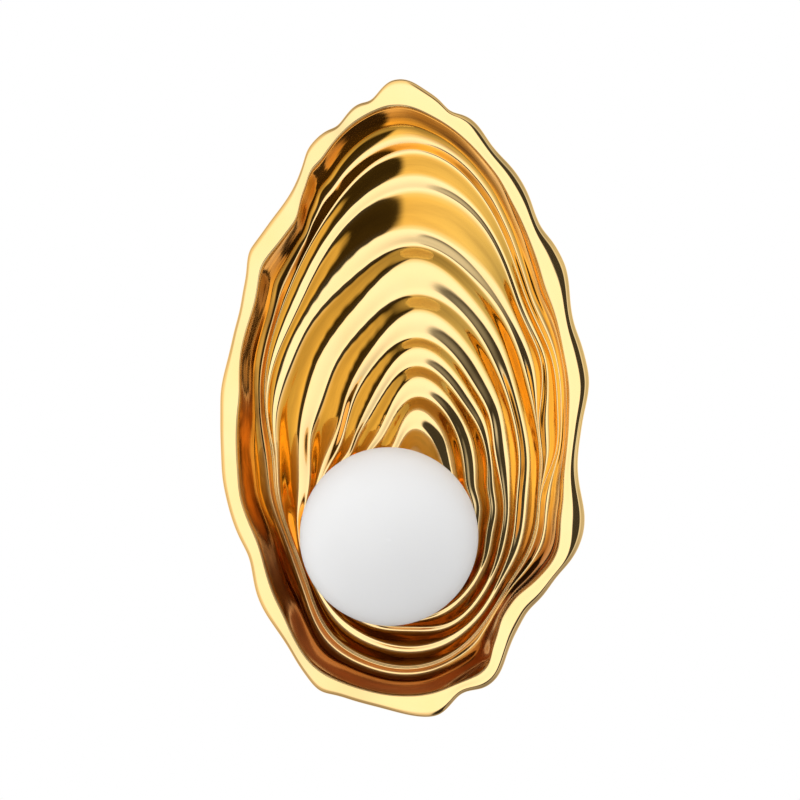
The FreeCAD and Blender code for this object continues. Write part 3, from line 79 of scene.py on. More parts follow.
# Distance of each growth ridge's crest from the beak on 24 spokes, clockwise from the top, outermost first.
RIDGES = [
    [229, 199, 153, 132, 114, 101, 88, 88.5, 90.5, 93, 102.5, 115,
     121.5, 120, 113, 99, 91, 90, 93, 98.5, 115, 136.5, 162.5, 200],
    [203.5, 184.5, 144, 123.5, 99.5, 91, 87, 87.8, 89.8, 92.3, 101.8, 114.3,
     120.8, 119.3, 112.3, 98.3, 90.3, 89.3, 92, 97, 113.5, 129.5, 149, 182.5],
    [166, 150.5, 129, 109.5, 97, 90, 86, 87, 89, 91.5, 101, 113.5,
     120, 118.5, 111.5, 97.5, 89.5, 88.5, 90.5, 95, 106, 117, 133.5, 150],
    [133, 124, 105.5, 91, 81.5, 75.5, 71.5, 72.5, 77.5, 84, 94, 103,
     107, 105, 99.5, 92, 85.5, 76.5, 70, 71.5, 78.5, 86, 101, 117.5],
    [103.5, 96.5, 82.5, 73.5, 64, 60, 61, 64.5, 69, 77, 86.5, 94.5,
     94, 95, 92, 87.5, 82.5, 71.5, 63.5, 58.5, 57, 63, 75.5, 90.5],
    [84, 79, 68.5, 62.5, 57.5, 53.5, 51.5, 55, 58.5, 67.5, 76.5, 84.5,
     89.5, 92, 90.5, 84.5, 79, 67.5, 58, 51.5, 48, 51.5, 57.5, 70],
    [62.5, 61, 53, 45.5, 40, 37, 37.5, 42.5, 48, 57.5, 67, 77.5,
     84, 88.5, 86.5, 81.5, 76, 63.5, 54, 45.5, 38.5, 38, 40.5, 50],
    [40.5, 38.5, 32.5, 27.5, 25, 25, 27.5, 32.5, 38.5, 47, 58, 70.5,
     78, 83, 82.5, 78, 72, 59.5, 49, 39.5, 31.5, 28, 26.5, 31.5],
]
# Share of the way in from a crest to the next where the groove between them is deepest, on the same spokes.
GROOVES = [
    [0.63, 0.6, 0.72, 0.62, 0.64, 0.66, 0.57, 0.6, 0.66, 0.75, 0.8, 0.78,
     0.74, 0.75, 0.78, 0.82, 0.84, 0.84, 0.84, 0.8, 0.78, 0.84, 0.76, 0.64],
    [0.61, 0.6, 0.5, 0.5, 0.5, 0.5, 0.5, 0.5, 0.5, 0.5, 0.5, 0.5,
     0.5, 0.5, 0.5, 0.5, 0.5, 0.5, 0.5, 0.5, 0.5, 0.5, 0.48, 0.56],
    [0.69, 0.65, 0.42, 0.45, 0.5, 0.5, 0.5, 0.5, 0.5, 0.5, 0.5, 0.5,
     0.5, 0.5, 0.5, 0.5, 0.5, 0.5, 0.5, 0.5, 0.55, 0.4, 0.46, 0.54],
    [0.3, 0.4, 0.45, 0.55, 0.54, 0.48, 0.43, 0.43, 0.43, 0.45, 0.5, 0.57,
     0.64, 0.62, 0.58, 0.56, 0.58, 0.6, 0.61, 0.62, 0.65, 0.55, 0.55, 0.48],
    [0.4, 0.42, 0.42, 0.42, 0.42, 0.42, 0.42, 0.42, 0.42, 0.42, 0.48, 0.6,
     0.72, 0.66, 0.55, 0.48, 0.48, 0.5, 0.55, 0.6, 0.7, 0.75, 0.7, 0.6],
]
BEAK = (15.5, 31)          # right of and above the lamp axis
SEAT_RADIUS = 42
SEAT_FRONT = 31            # out from the wall
DISH_DEPTH = 57
SHELL_WALL = 5
CREASE_DROP = 18           # steep step inside the rim on the left, more at the top and less on the right
TOP_DROP = 8
RIGHT_DROP = 4.5
TOP_LEAN = 0.3             # how far left of straight up the top's own form is centred, in radians
BOWL_POWER = 1.35          # how the dish steepens outwards from its seat, and how much less at the top
TOP_POWER = 0.3
RIDGE_LIFT = 2.8           # ridges' crests in front of the dish's even floor
GROOVE_STEEPNESS = 0.48    # a groove's depth over the distance between its crests, for a slope of one
TOP_STEEPNESS = 0.12       # how much less it is in the two outermost grooves at the top, and in all below
LOW_STEEPNESS = 0.2
GROOVE_LIMIT = 5.6         # deepest groove
OUTWARD_TILT = 0.16        # slope of a groove's inner side against the dish
CREST_BLUNT = 0.2          # share of a groove's outer and inner side rounded at the crest
TREAD_BLUNT = 0.12
WALL_SHARE = 0.75          # share of the outermost groove's outer side taken by the step inside the rim
RIM_SWAY = 1.6             # rise and fall of the rim out of its plane
SWAY_WAVES = ((0.6, 2, 0.8), (0.4, 5, 0))      # share, waves round the rim and start of its sway
EDGE_LIP = 1.2
CREST_SETTLE = 1.3         # how a groove's sides level out at its trough, and how much more in a soft groove
SOFT_SETTLE = 0.7
LIFT_SHARE = 0.3           # share of the way out from the seat over which the ridges rise to their lift
NEAR_REACHES = [math.radians(4 * i) for i in range(-3, 4)]      # where the dish's even width is taken from
# Sine or cosine of the angle between which each side's own form begins and is full.
SIDE_BLEND = (0.05, 0.6)
TOP_BLEND = (0.5, 0.9)
LOW_BLEND = (-0.3, -0.8)
ROLL_BLEND = (-0.25, 0.1)
LIP_BLEND = (0.1, 0.2)
# The rim band: its fall towards the edge on the left, and its swell and turn-over elsewhere.
BAND_FALL = 1.5
BAND_SWELL = 0.9
BAND_TURN = 3.4
BAND_TURN_POWER = 1.6
LIP_DROP = 0.9             # how far the band's last strip falls to the edge, and how much more on the right
RIGHT_LIP_DROP = 1.5
LIP_STEPS = (0.82, 1.2)
# Share of the band where it turns over: on the upper right, less at the right, and more below and on top.
ROLL_START = 0.6
ROLL_RIGHT = 0.1
ROLL_LOW = 0.2
ROLL_TOP = 0.37
ROLL_LATEST = 0.97
COLUMNS = 640
PHASES = 18                # rows from one crest to the next
RIM_STEPS = 20             # rows over the rim band, and half round its edge
EDGE_STEPS = 8
# Painted reflection and shade on the steep sides of the folds: deeper gold for light bounced between them,
# brown for painted shade below and dark painted shade streaks.
SADDLE_REFLECTION = (1.0, 0.47, 0.05)
AMBER_REFLECTION = (1.0, 0.60, 0.12)
RUSSET_REFLECTION = (0.80, 0.40, 0.06)
UMBER_SHADE = (0.36, 0.13, 0.03)
DARK_STREAK_SHADE = (0.20, 0.07, 0.012)
# The gold of the open treads and the rim drifts between these two.
OPEN_GOLD = ((1.0, 0.71, 0.31), (1.0, 0.74, 0.36))
WALL_SHADE_STREAKS = 0.8         # how much painted shade streaks the outermost fold, and the others
FOLD_SHADE_STREAKS = 0.2
EDGE_SHADE_TONE = 0.6            # painted reflection and shade at the rim's edge, and an even share of the deep gold behind the shell
PLAIN_TONE = 0.4


class Loop:
    """A smooth closed curve through values given at rising angles."""

    def __init__(self, angles, values):
        pairs = sorted((a % math.tau, v) for a, v in zip(angles, values))
        self.angles = [a for a, _ in pairs]
        self.values = [v for _, v in pairs]
        count = len(pairs)
        self.steps = [(self.angles[(i + 1) % count] - self.angles[i]) % math.tau for i in range(count)]
        rises = [(self.values[(i + 1) % count] - self.values[i]) / self.steps[i] for i in range(count)]
        self.bends = [0.0] * count
        for _ in range(40):
            for i in range(count):
                before, after = self.steps[i - 1], self.steps[i]
                pull = before * self.bends[i - 1] + after * self.bends[(i + 1) % count]
                self.bends[i] = (6 * (rises[i] - rises[i - 1]) - pull) / (2 * (before + after))

    def __call__(self, angle):
        angle %= math.tau
        i = bisect.bisect_right(self.angles, angle) - 1
        step = self.steps[i]
        b = ((angle - self.angles[i]) % math.tau) / step
        a = 1 - b
        j = (i + 1) % len(self.values)
        curve = (a ** 3 - a) * self.bends[i] + (b ** 3 - b) * self.bends[j]
        return a * self.values[i] + b * self.values[j] + curve * step ** 2 / 6


def loop_from_points(points):
    """The distance from the beak to a closed outline, by angle clockwise from the top."""
    return Loop([math.atan2(x, y) for x, y in points], [math.hypot(x, y) for x, y in points])


def ease(value, low, high):
    """0 at or before low, 1 from high on and smooth between; low may be the larger of the two."""
    share = min(1, max(0, (value - low) / (high - low)))
    return share * share * (3 - 2 * share)


def fold(share, blunt, full, settle=CREST_SETTLE):
    """0 at a blunt crest and 1 at the trough; the fuller the side, the straighter it runs down."""
    run = (math.hypot(share, blunt) - blunt) / (math.hypot(1, blunt) - blunt)
    curved = math.sin(math.pi / 2 * run)
    straight = 1 - (1 - run) ** settle
    return curved + (straight - curved) * full


def swing(phase, full, soft):
    """1 at a crest, where the phase is 0 or 2, and -1 at the trough between; the softer the groove, the more
    slowly its outer side levels out."""
    if phase < 1:
        return 1 - 2 * fold(phase, CREST_BLUNT, 1, CREST_SETTLE + SOFT_SETTLE * soft)
    return 1 - 2 * fold(2 - phase, TREAD_BLUNT, full)


rim_loop = loop_from_points(RIM)
crease_loop = loop_from_points(CREASE)
SPOKES = [math.tau * i / len(RIDGES[0]) for i in range(len(RIDGES[0]))]
ridge_loops = [Loop(SPOKES, reaches) for reaches in RIDGES]
groove_loops = [Loop(SPOKES, shares) for shares in GROOVES]
RINGS = len(ridge_loops) + 1


def even_angles():
    """Angles whose points lie evenly along the rim."""
    fine = [math.tau * i / 7200 for i in range(7201)]
    points = [(rim_loop(a) * math.sin(a), rim_loop(a) * math.cos(a)) for a in fine]
    along = [0.0]
    for (x0, y0), (x1, y1) in zip(points, points[1:]):
        along.append(along[-1] + math.hypot(x1 - x0, y1 - y0))
    return [fine[bisect.bisect_left(along, along[-1] * i / COLUMNS)] for i in range(COLUMNS)]


def seat_reach(angle):
    """Distance from the beak to the edge of the flat seat round the lamp axis."""
    along = math.sin(angle) * BEAK[0] + math.cos(angle) * BEAK[1]
    return -along + math.sqrt(along ** 2 + SEAT_RADIUS ** 2 - BEAK[0] ** 2 - BEAK[1] ** 2)


def spoke(angle):
    """What the profile along one spoke needs."""
    crests = [crease_loop(angle)] + [ridge(angle) for ridge in ridge_loops] + [seat_reach(angle)]
    near = [crease_loop(angle + offset) for offset in NEAR_REACHES]
    grooves = [groove(angle) for groove in groove_loops]
    side = math.sin(angle)
    top, right = ease(math.cos(angle + TOP_LEAN), *TOP_BLEND), ease(side, *SIDE_BLEND)
    return {
        "angle": angle,
        "crests": crests,
        "rim": rim_loop(angle),
        "wide": sum(near) / len(near),
        "grooves": grooves + grooves[-1:] * (RINGS - len(grooves)),
        "drop": CREASE_DROP + TOP_DROP * top - RIGHT_DROP * right,
        "power": BOWL_POWER - TOP_POWER * top,
        "top": top,
        "low": ease(math.cos(angle), *LOW_BLEND),
        "right": right,
        "left": ease(-side, *SIDE_BLEND),
        "rolled": ease(side, *ROLL_BLEND),
        "roll": roll_start(angle),
        "lip": LIP_DROP + RIGHT_LIP_DROP * ease(side, *LIP_BLEND),
    }


def roll_start(angle):
    """Where the rim band turns over to its edge: in its middle on the right, later below and on top."""
    side = math.sin(angle)
    start = ROLL_START - ROLL_RIGHT * ease(side, 0.85, 1) + ROLL_LOW * ease(-math.cos(angle), 0.2, 0.5)
    return min(ROLL_LATEST, start + ROLL_TOP * (1 - ease(side, *LIP_BLEND)))


def sway(angle):
    """How far the rim stands out of its plane."""
    return RIM_SWAY * sum(share * math.sin(count * angle + start) for share, count, start in SWAY_WAVES)


def groove_depth(line, ring):
    """Depth of the groove between one crest and the next, by their distance and the slope of the dish."""
    crests, power = line["crests"], line["power"]
    if ring == RINGS - 1:
        return 0.0
    span = crests[0] - crests[-1]
    share = (crests[ring] - crests[-1]) / span
    slope = (DISH_DEPTH - line["drop"]) * power * share ** (power - 1) / span
    steepness = GROOVE_STEEPNESS - LOW_STEEPNESS * line["low"]
    if ring in (1, 2):
        steepness -= TOP_STEEPNESS * line["top"]
    return min(GROOVE_LIMIT, steepness * (slope + OUTWARD_TILT) * (crests[ring] - crests[ring + 1]))


def inner(line, ring, phase, ridged=True):
    """Reach and height on the way in from a crest at phase 0 over the trough at 1 to the next crest at 2."""
    crests, turn = line["crests"], line["grooves"][ring]
    step = turn * phase if phase < 1 else turn + (1 - turn) * (phase - 1)
    reach = crests[ring] + (crests[ring + 1] - crests[ring]) * step
    wide = line["wide"] - crests[-1]
    share = (reach - crests[-1]) / wide
    if ring == 0:
        share += (1 - (crests[0] - crests[-1]) / wide) * (1 - step)
    height = (DISH_DEPTH - line["drop"]) * share ** line["power"] + sway(line["angle"]) * share ** 2
    if ridged:
        height += RIDGE_LIFT * ease(share, 0, LIFT_SHARE)
        height -= groove_depth(line, ring) * (1 - swing(phase, line["left"], line["left"])) / 2
    if ring == 0:
        fallen = min(1, phase / WALL_SHARE)
        sharp = 1 - (1 - fallen) ** 2
        height += line["drop"] * (1 - sharp + (sharp - ease(fallen, 0, 1)) * line["right"])
    return reach, height


def outer(line, step):
    """Reach and height on the rim band, from the crease at 0 to the edge at 1."""
    crease, rim = line["crests"][0], line["rim"] - EDGE_LIP
    top = DISH_DEPTH + sway(line["angle"]) + RIDGE_LIFT
    falling, roll = -BAND_FALL * step, line["roll"]
    swell = BAND_SWELL * math.sin(math.pi / 2 * min(step, roll) / roll) ** 2
    rolled = swell - BAND_TURN * max(0, step - roll) ** BAND_TURN_POWER
    edge = -line["lip"] * ease(step, *LIP_STEPS)
    return crease + (rim - crease) * step, top + falling + (rolled - falling) * line["rolled"] + edge


def painted_reflection_share(line, ring, phase):
    """How much painted reflection and shade a fold gets, standing in for light bounced between its sides: 1 on
    its steep side and 0 on its open tread, or more on the outermost tread on the left. Narrow folds show less
    of it."""
    side = ease(phase, 0, 0.15) * ease(phase, 1.15, 0.85)
    tread = 0.4 * ease(-math.sin(line["angle"]), 0.6, 0.9) if ring == 0 else 0
    room = line["crests"][ring] - line["crests"][ring + 1]
    return max(side, tread) * ease(room, 1, 5)


def mixed(first, second, share):
    return tuple(a + (b - a) * share for a, b in zip(first, second))


def fold_reflection_and_shade(line, ring):
    """Painted reflection and shade on a fold's steep side, standing in for light bounced between the folds:
    saddle on the left, amber on the right, russet in the outermost fold on the left, and painted shade in
    brown below."""
    side, rise = math.sin(line["angle"]), math.cos(line["angle"])
    gold = mixed(SADDLE_REFLECTION, AMBER_REFLECTION, ease(side, -0.35, 0.5))
    low = ease(rise, 0.1, -0.5)
    if ring == 0:
        return mixed(mixed(gold, RUSSET_REFLECTION, ease(-side, 0.2, 0.5)), UMBER_SHADE, low)
    return mixed(gold, UMBER_SHADE, 0.8 * low * ease(side, -0.6, 0.2))


def shell_rows(lines):
    """Rows of points from the front of the seat out over the rim's edge and back behind to the seat, with for
    each point its share of painted reflection and shade, that painted colour, and how much of it is painted
    shade streaks."""
    painted_shade_shares, painted_fold_colours = [], []

    def row(place, lift=0, tone=lambda line: PLAIN_TONE, ring=1):
        points = []
        for line in lines:
            painted_shade_shares.append(tone(line))
            painted_fold_colours.extend((*fold_reflection_and_shade(line, ring), WALL_SHADE_STREAKS if ring == 0 else FOLD_SHADE_STREAKS))
            reach, height = place(line)
            x = BEAK[0] + reach * math.sin(line["angle"])
            z = BEAK[1] + reach * math.cos(line["angle"])
            points.append(Vector((x, -(SEAT_FRONT + height + lift), z)) * MM)
        return points

    rows = [row(lambda s: (s["crests"][-1], 0))]
    for ring in reversed(range(RINGS)):
        for i in reversed(range(PHASES)):
            phase = 2 * i / PHASES
            rows.append(row(lambda s: inner(s, ring, phase), 0, lambda s: painted_reflection_share(s, ring, phase), ring))
    for i in range(1, RIM_STEPS):
        step = i / RIM_STEPS
        # Painted reflection and shade deepen towards the rim's edge.
        rows.append(row(lambda s: outer(s, step), 0, lambda s: EDGE_SHADE_TONE * ease(step, 0.8, 1)))
    for i in range(EDGE_STEPS + 1):
        turn = math.pi * i / EDGE_STEPS
        out, down = math.sin(turn), (1 - math.cos(turn)) / 2 * SHELL_WALL
        rows.append(row(lambda s: (s["rim"] + EDGE_LIP * (out - 1), outer(s, 1)[1] - down)))
    for i in reversed(range(0, RIM_STEPS, 3)):
        rows.append(row(lambda s: outer(s, i / RIM_STEPS), -SHELL_WALL))
    for ring in range(RINGS):
        count = 12 if ring == 0 else 3
        for i in range(count):
            rows.append(row(lambda s: inner(s, ring, 2 * i / count, False), -SHELL_WALL))
    rows.append(row(lambda s: (s["crests"][-1], 0), -SHELL_WALL))
    return rows, painted_shade_shares, painted_fold_colours


def new_mesh(name, points, faces, smooth=True):
    mesh = bpy.data.meshes.new(name)
    mesh.from_pydata([tuple(p) for p in points], [], faces)
    mesh.polygons.foreach_set("use_smooth", [smooth] * len(faces))
    mesh.update()
    piece = bpy.data.objects.new(name, mesh)
    bpy.context.scene.collection.objects.link(piece)
    return piece


def make_shell():
    lines = [spoke(angle) for angle in even_angles()]
    rows, painted_shade_shares, painted_fold_colours = shell_rows(lines)
    points = [p for row in rows for p in row]
    faces = []
    for r in range(len(rows) - 1):
        for c in range(COLUMNS):
            d = (c + 1) % COLUMNS
            faces.append((r * COLUMNS + c, r * COLUMNS + d, (r + 1) * COLUMNS + d, (r + 1) * COLUMNS + c))
    faces.append(tuple(reversed(range(COLUMNS))))
    last = (len(rows) - 1) * COLUMNS
    faces.append(tuple(last + c for c in range(COLUMNS)))
    piece = new_mesh("shell_dish", points, faces)
    # tone holds each point's share of painted reflection and shade; the colour layer holds the painted colour,
    # with its share of painted shade streaks in alpha.
    depth = piece.data.attributes.new("tone", "FLOAT", "POINT")
    depth.data.foreach_set("value", painted_shade_shares)
    painted_fold_layer = piece.data.attributes.new("fold_painted_reflection", "FLOAT_COLOR", "POINT")
    painted_fold_layer.data.foreach_set("color", painted_fold_colours)
    flow = piece.data.attributes.new("flow", "FLOAT_VECTOR", "POINT")
    around = [(math.cos(line["angle"]), math.sin(line["angle"])) for line in lines]
    flow.data.foreach_set("vector", [v for r in range(len(rows)) for x, y in around for v in (x, y, r / 8)])
    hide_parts("shell")
    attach(piece, "fixture")
    return piece


# ---------------------------------------------------------------- materials
class Surface:
    """A material with a principled shader and the few textures that every finish here is made of."""

    def __init__(self, name, roughness=0.5, metallic=0.0):
        self.material = bpy.data.materials.new(name)
        self.material.use_nodes = True
        self.nodes, self.links = self.material.node_tree.nodes, self.material.node_tree.links
        self.shader = self.nodes["Principled BSDF"]
        self.shader.inputs["Metallic"].default_value = metallic
        self.shader.inputs["Roughness"].default_value = roughness
        self.place = self.nodes.new("ShaderNodeTexCoord").outputs["Object"]

    def set(self, **values):
        for name, value in values.items():
            self.shader.inputs[name.replace("_", " ").title().replace("Ior", "IOR")].default_value = value
        return self

    def noise(self, scale, detail=3, stretch=(1, 1, 1), place=None):
        aimed = self.nodes.new("ShaderNodeMapping")
        aimed.inputs["Scale"].default_value = stretch
        self.links.new(place or self.place, aimed.inputs["Vector"])
        texture = self.nodes.new("ShaderNodeTexNoise")
        texture.inputs["Scale"].default_value = scale
        texture.inputs["Detail"].default_value = detail
        self.links.new(aimed.outputs["Vector"], texture.inputs["Vector"])
        return texture.outputs["Fac"]

    def rings(self, scale, distortion=0.3):
        """Fine turned marks round the lamp axis."""
        texture = self.nodes.new("ShaderNodeTexWave")
        texture.wave_type = "RINGS"
        texture.rings_direction = "Y"
        texture.inputs["Scale"].default_value = scale
        texture.inputs["Distortion"].default_value = distortion
        self.links.new(self.place, texture.inputs["Vector"])
        return texture.outputs["Fac"]

    def attribute(self, name, output="Fac"):
        node = self.nodes.new("ShaderNodeAttribute")
        node.attribute_name = name
        return node.outputs[output]

    def blend(self, factor, first, second):
        node = self.nodes.new("ShaderNodeMix")
        node.data_type = "RGBA"
        self.links.new(factor, node.inputs["Factor"])
        for socket, colour in ((node.inputs[6], first), (node.inputs[7], second)):
            if isinstance(colour, tuple):
                socket.default_value = (*colour, 1)
            else:
                self.links.new(colour, socket)
        return node.outputs[2]

    def between(self, value, low, high, start=0.3, end=0.7):
        """The value's middle range spread from low to high."""
        node = self.nodes.new("ShaderNodeMapRange")
        for name, number in (("From Min", start), ("From Max", end), ("To Min", low), ("To Max", high)):
            node.inputs[name].default_value = number
        self.links.new(value, node.inputs["Value"])
        return node.outputs["Result"]

    def colour(self, colour):
        self.links.new(colour, self.shader.inputs["Base Color"])
        return self

    def roughness(self, value, low, high):
        self.links.new(self.between(value, low, high), self.shader.inputs["Roughness"])
        return self

    def relief(self, value, depth, strength=None):
        node = self.nodes.new("ShaderNodeBump")
        node.inputs["Distance"].default_value = depth
        self.links.new(value, node.inputs["Height"])
        if strength is not None:
            self.links.new(strength, node.inputs["Strength"])
        self.links.new(node.outputs["Normal"], self.shader.inputs["Normal"])
        return self


def polished_shell():
    """Mirror-polished gold plate on a casting, with painted reflection and shade inside its folds and faint
    wrinkles along them.
    """
    gold = Surface("gold_shell", metallic=1.0)
    open_tone = gold.blend(gold.between(gold.noise(22), 0, 1), *OPEN_GOLD)
    # The tone attribute is the share of painted reflection and shade, mixing in the painted fold colours with
    # their dark painted shade streaks.
    depth = gold.attribute("tone")
    flow = gold.attribute("flow", "Vector")
    shade_wisps = gold.between(gold.noise(3, 4, place=flow), 0, 1, 0.42, 0.68)
    shade_streaks = math_of(gold.nodes, gold.links, "MULTIPLY", shade_wisps, gold.attribute("fold_painted_reflection", "Alpha"))
    painted_fold_tone = gold.blend(shade_streaks, gold.attribute("fold_painted_reflection", "Color"), DARK_STREAK_SHADE)
    gold.colour(gold.blend(depth, open_tone, painted_fold_tone))
    gold.roughness(gold.noise(60, 4), 0.045, 0.085)
    gold.relief(gold.noise(3, 2, place=flow), 0.00004, depth)
    return gold.material


def gold_sheet():
    """Satin gold plate on spun sheet."""
    gold = Surface("gold_sheet", metallic=1.0)
    gold.colour(gold.blend(gold.noise(35), (0.86, 0.60, 0.26), (0.94, 0.68, 0.33)))
    rings = gold.rings(700)
    return gold.roughness(gold.noise(90, 4), 0.16, 0.26).relief(rings, 0.00001).material


def gold_turned():
    """Polished gold plate on turned brass."""
    gold = Surface("gold_turned", metallic=1.0)
    gold.colour(gold.blend(gold.noise(50), (0.94, 0.66, 0.29), (1.0, 0.72, 0.35)))
    return gold.roughness(gold.rings(900), 0.07, 0.13).relief(gold.noise(400, 2), 0.000005).material


def plated(name, colour, other, low, high, grain=140, depth=0.000012):
    """A plated or machined metal: its colour drifts and its polish and surface are uneven."""
    metal = Surface(name, metallic=1.0)
    metal.colour(metal.blend(metal.between(metal.noise(grain / 3), 0, 1), colour, other))
    return metal.roughness(metal.noise(grain, 4), low, high).relief(metal.noise(grain * 4), depth).material


def zinc_steel():
    """Zinc-plated steel strip, with the fine lengthways grain of rolling."""
    steel = Surface("zinc_steel", metallic=1.0)
    steel.colour(steel.blend(steel.between(steel.noise(60), 0, 1), (0.62, 0.64, 0.66), (0.74, 0.76, 0.77)))
    grain = steel.noise(60, 4, (1, 14, 14))
    return steel.roughness(grain, 0.24, 0.42).relief(grain, 0.00001).material


def moulded(name, colour, other, low, high, grain=500, depth=0.00002, **finish):
    """Moulded or fired matter: a fine grain, a slight drift of colour and an uneven gloss."""
    matter = Surface(name).set(**finish)
    matter.colour(matter.blend(matter.between(matter.noise(grain / 12), 0, 1), colour, other))
    matter.roughness(matter.noise(grain / 3, 4), low, high)
    return matter.relief(matter.noise(grain, 2), depth).material


def opal_glass():
    """Etched opal glass: milky right through, with a matte skin and a trace of clouding."""
    glass = Surface("opal_glass").set(subsurface_weight=0.35, subsurface_scale=0.012, coat_weight=0.08,
                                      coat_roughness=0.45, ior=1.5)
    glass.shader.inputs["Subsurface Radius"].default_value = (1.0, 0.95, 0.88)
    clouds = glass.between(glass.noise(9, 2), 0, 1)
    glass.colour(glass.blend(clouds, (0.86, 0.852, 0.84), (0.885, 0.88, 0.87)))
    return glass.roughness(glass.noise(70, 4), 0.5, 0.62).relief(glass.noise(900, 3), 0.000006).material


def lamp_glass():
    """The frosted envelope of the capsule lamp."""
    glass = Surface("lamp_glass").set(transmission_weight=0.6, ior=1.45)
    glass.colour(glass.blend(glass.noise(120), (0.90, 0.90, 0.87), (0.95, 0.95, 0.92)))
    return glass.roughness(glass.noise(200, 4), 0.3, 0.45).relief(glass.noise(1500, 2), 0.000004).material


def lamp_source():
    """Yellow phosphor in rows of small coated chips."""
    chips = Surface("lamp_source", roughness=0.6)
    cells = chips.nodes.new("ShaderNodeTexVoronoi")
    cells.inputs["Scale"].default_value = 450
    chips.links.new(chips.place, cells.inputs["Vector"])
    distance = cells.outputs["Distance"]
    chips.colour(chips.blend(chips.between(distance, 0, 1), (0.93, 0.76, 0.24), (0.85, 0.62, 0.16)))
    return chips.relief(distance, 0.00005).material


def make_finishes():
    """One material for each slot of the record."""
    return {
        "gold_shell": polished_shell(),
        "gold_sheet": gold_sheet(),
        "gold_turned": gold_turned(),
        "gold_screw": plated("gold_screw", (0.90, 0.62, 0.27), (0.97, 0.70, 0.34), 0.14, 0.26, 300),
        "zinc_steel": zinc_steel(),
        "green_screw": plated("green_screw", (0.05, 0.30, 0.12), (0.09, 0.38, 0.17), 0.25, 0.4, 300),
        "brass_raw": plated("brass_raw", (0.72, 0.53, 0.24), (0.82, 0.63, 0.32), 0.2, 0.36, 200),
        "contact_nickel": plated("contact_nickel", (0.68, 0.65, 0.60), (0.78, 0.75, 0.70), 0.16, 0.3, 400),
        "ceramic_white": moulded("ceramic_white", (0.80, 0.79, 0.75), (0.86, 0.85, 0.82), 0.4, 0.6, 900),
        "white_plastic": moulded("white_plastic", (0.80, 0.80, 0.77), (0.84, 0.84, 0.81), 0.35, 0.5, 1200,
                                 0.00001),
        "lead_black": moulded("lead_black", (0.018, 0.018, 0.018), (0.03, 0.03, 0.03), 0.4, 0.55, 900),
        "lead_white": moulded("lead_white", (0.76, 0.76, 0.73), (0.82, 0.82, 0.79), 0.4, 0.55, 900),
        "lead_green": moulded("lead_green", (0.02, 0.22, 0.06), (0.04, 0.28, 0.09), 0.4, 0.55, 900),
        "opal_glass": opal_glass(),
        "silicone_clear": moulded("silicone_clear", (0.75, 0.75, 0.73), (0.8, 0.8, 0.78), 0.25, 0.4, 700,
                                  transmission_weight=0.3),
        "silicone_white": moulded("silicone_white", (0.80, 0.80, 0.78), (0.85, 0.85, 0.83), 0.45, 0.6, 700),
        "lamp_glass": lamp_glass(),
        "lamp_source": lamp_source(),
    }


def set_material(piece, material):
    if not piece.data.materials:
        piece.data.materials.append(material)
    for slot in piece.material_slots:
        slot.material = material


def finish_nodes(finishes):
    for row in frame["record"]["subparts"]:
        set_material(frame["nodes"][row["node"]], finishes[row["material_slot"]])


# ---------------------------------------------------------------- stage
def ramp_of(nodes, links, value, low, high):
    """0 below low, 1 above high and smooth between."""
    span = nodes.new("ShaderNodeMapRange")
    span.interpolation_type = "SMOOTHSTEP"
    span.inputs["From Min"].default_value = low
    span.inputs["From Max"].default_value = high
    links.new(value, span.inputs["Value"])
    return span.outputs["Result"]


def math_of(nodes, links, operation, first, second=None):
    node = nodes.new("ShaderNodeMath")
    node.operation = operation
    for socket, value in zip(node.inputs, (first, second)):
        if value is None:
            continue
        if isinstance(value, (int, float)):
            socket.default_value = value
        else:
            links.new(value, socket)
    return node.outputs[0]


def curve_of(nodes, links, value, low, high, points):
    """The value along a given curve of values between 0 and 2."""
    span = nodes.new("ShaderNodeMapRange")
    span.inputs["From Min"].default_value = low
    span.inputs["From Max"].default_value = high
    links.new(value, span.inputs["Value"])
    node = nodes.new("ShaderNodeFloatCurve")
    curve = node.mapping.curves[0]
    for spot, level in points[1:-1]:
        curve.points.new((spot - low) / (high - low), level / 2)
    curve.points[0].location = (0, points[0][1] / 2)
    curve.points[-1].location = (1, points[-1][1] / 2)
    node.mapping.update()
    links.new(span.outputs["Result"], node.inputs["Value"])
    return math_of(nodes, links, "MULTIPLY", node.outputs["Value"], 2)


# The tent's brightness by the cosine of the angle from the front, and its dimming by the rise in radians.
TENT_ROUND = [(-1, 1.0), (-0.3, 0.9), (0, 0.6), (0.5, 0.85), (0.85, 1.2), (1, 1.28)]
TENT_RISE = [(-math.pi / 2, 0.5), (-0.9, 0.6), (-0.35, 0.95), (0, 1.0), (0.35, 0.95), (0.65, 0.8),
             (0.95, 0.55), (math.pi / 2, 0.2)]

# The tent's dark opening: the degrees to the side or above level where each of its edges begins and is full.
OPENING_EDGES = [("side", 0, 6), ("side", 48, 36), ("rise", 45, 15), ("rise", -60, -40)]
OPENING_COLOUR = (0.04, 0.036, 0.03)
# The soft light on everything matte, by the rise and by how far right it comes from.
SOFT_RISE = [(-math.pi / 2, 0.64), (0, 1.0), (math.pi / 2, 1.36)]
SOFT_SIDE = [(-1, 1.15), (0, 1.0), (1, 0.85)]


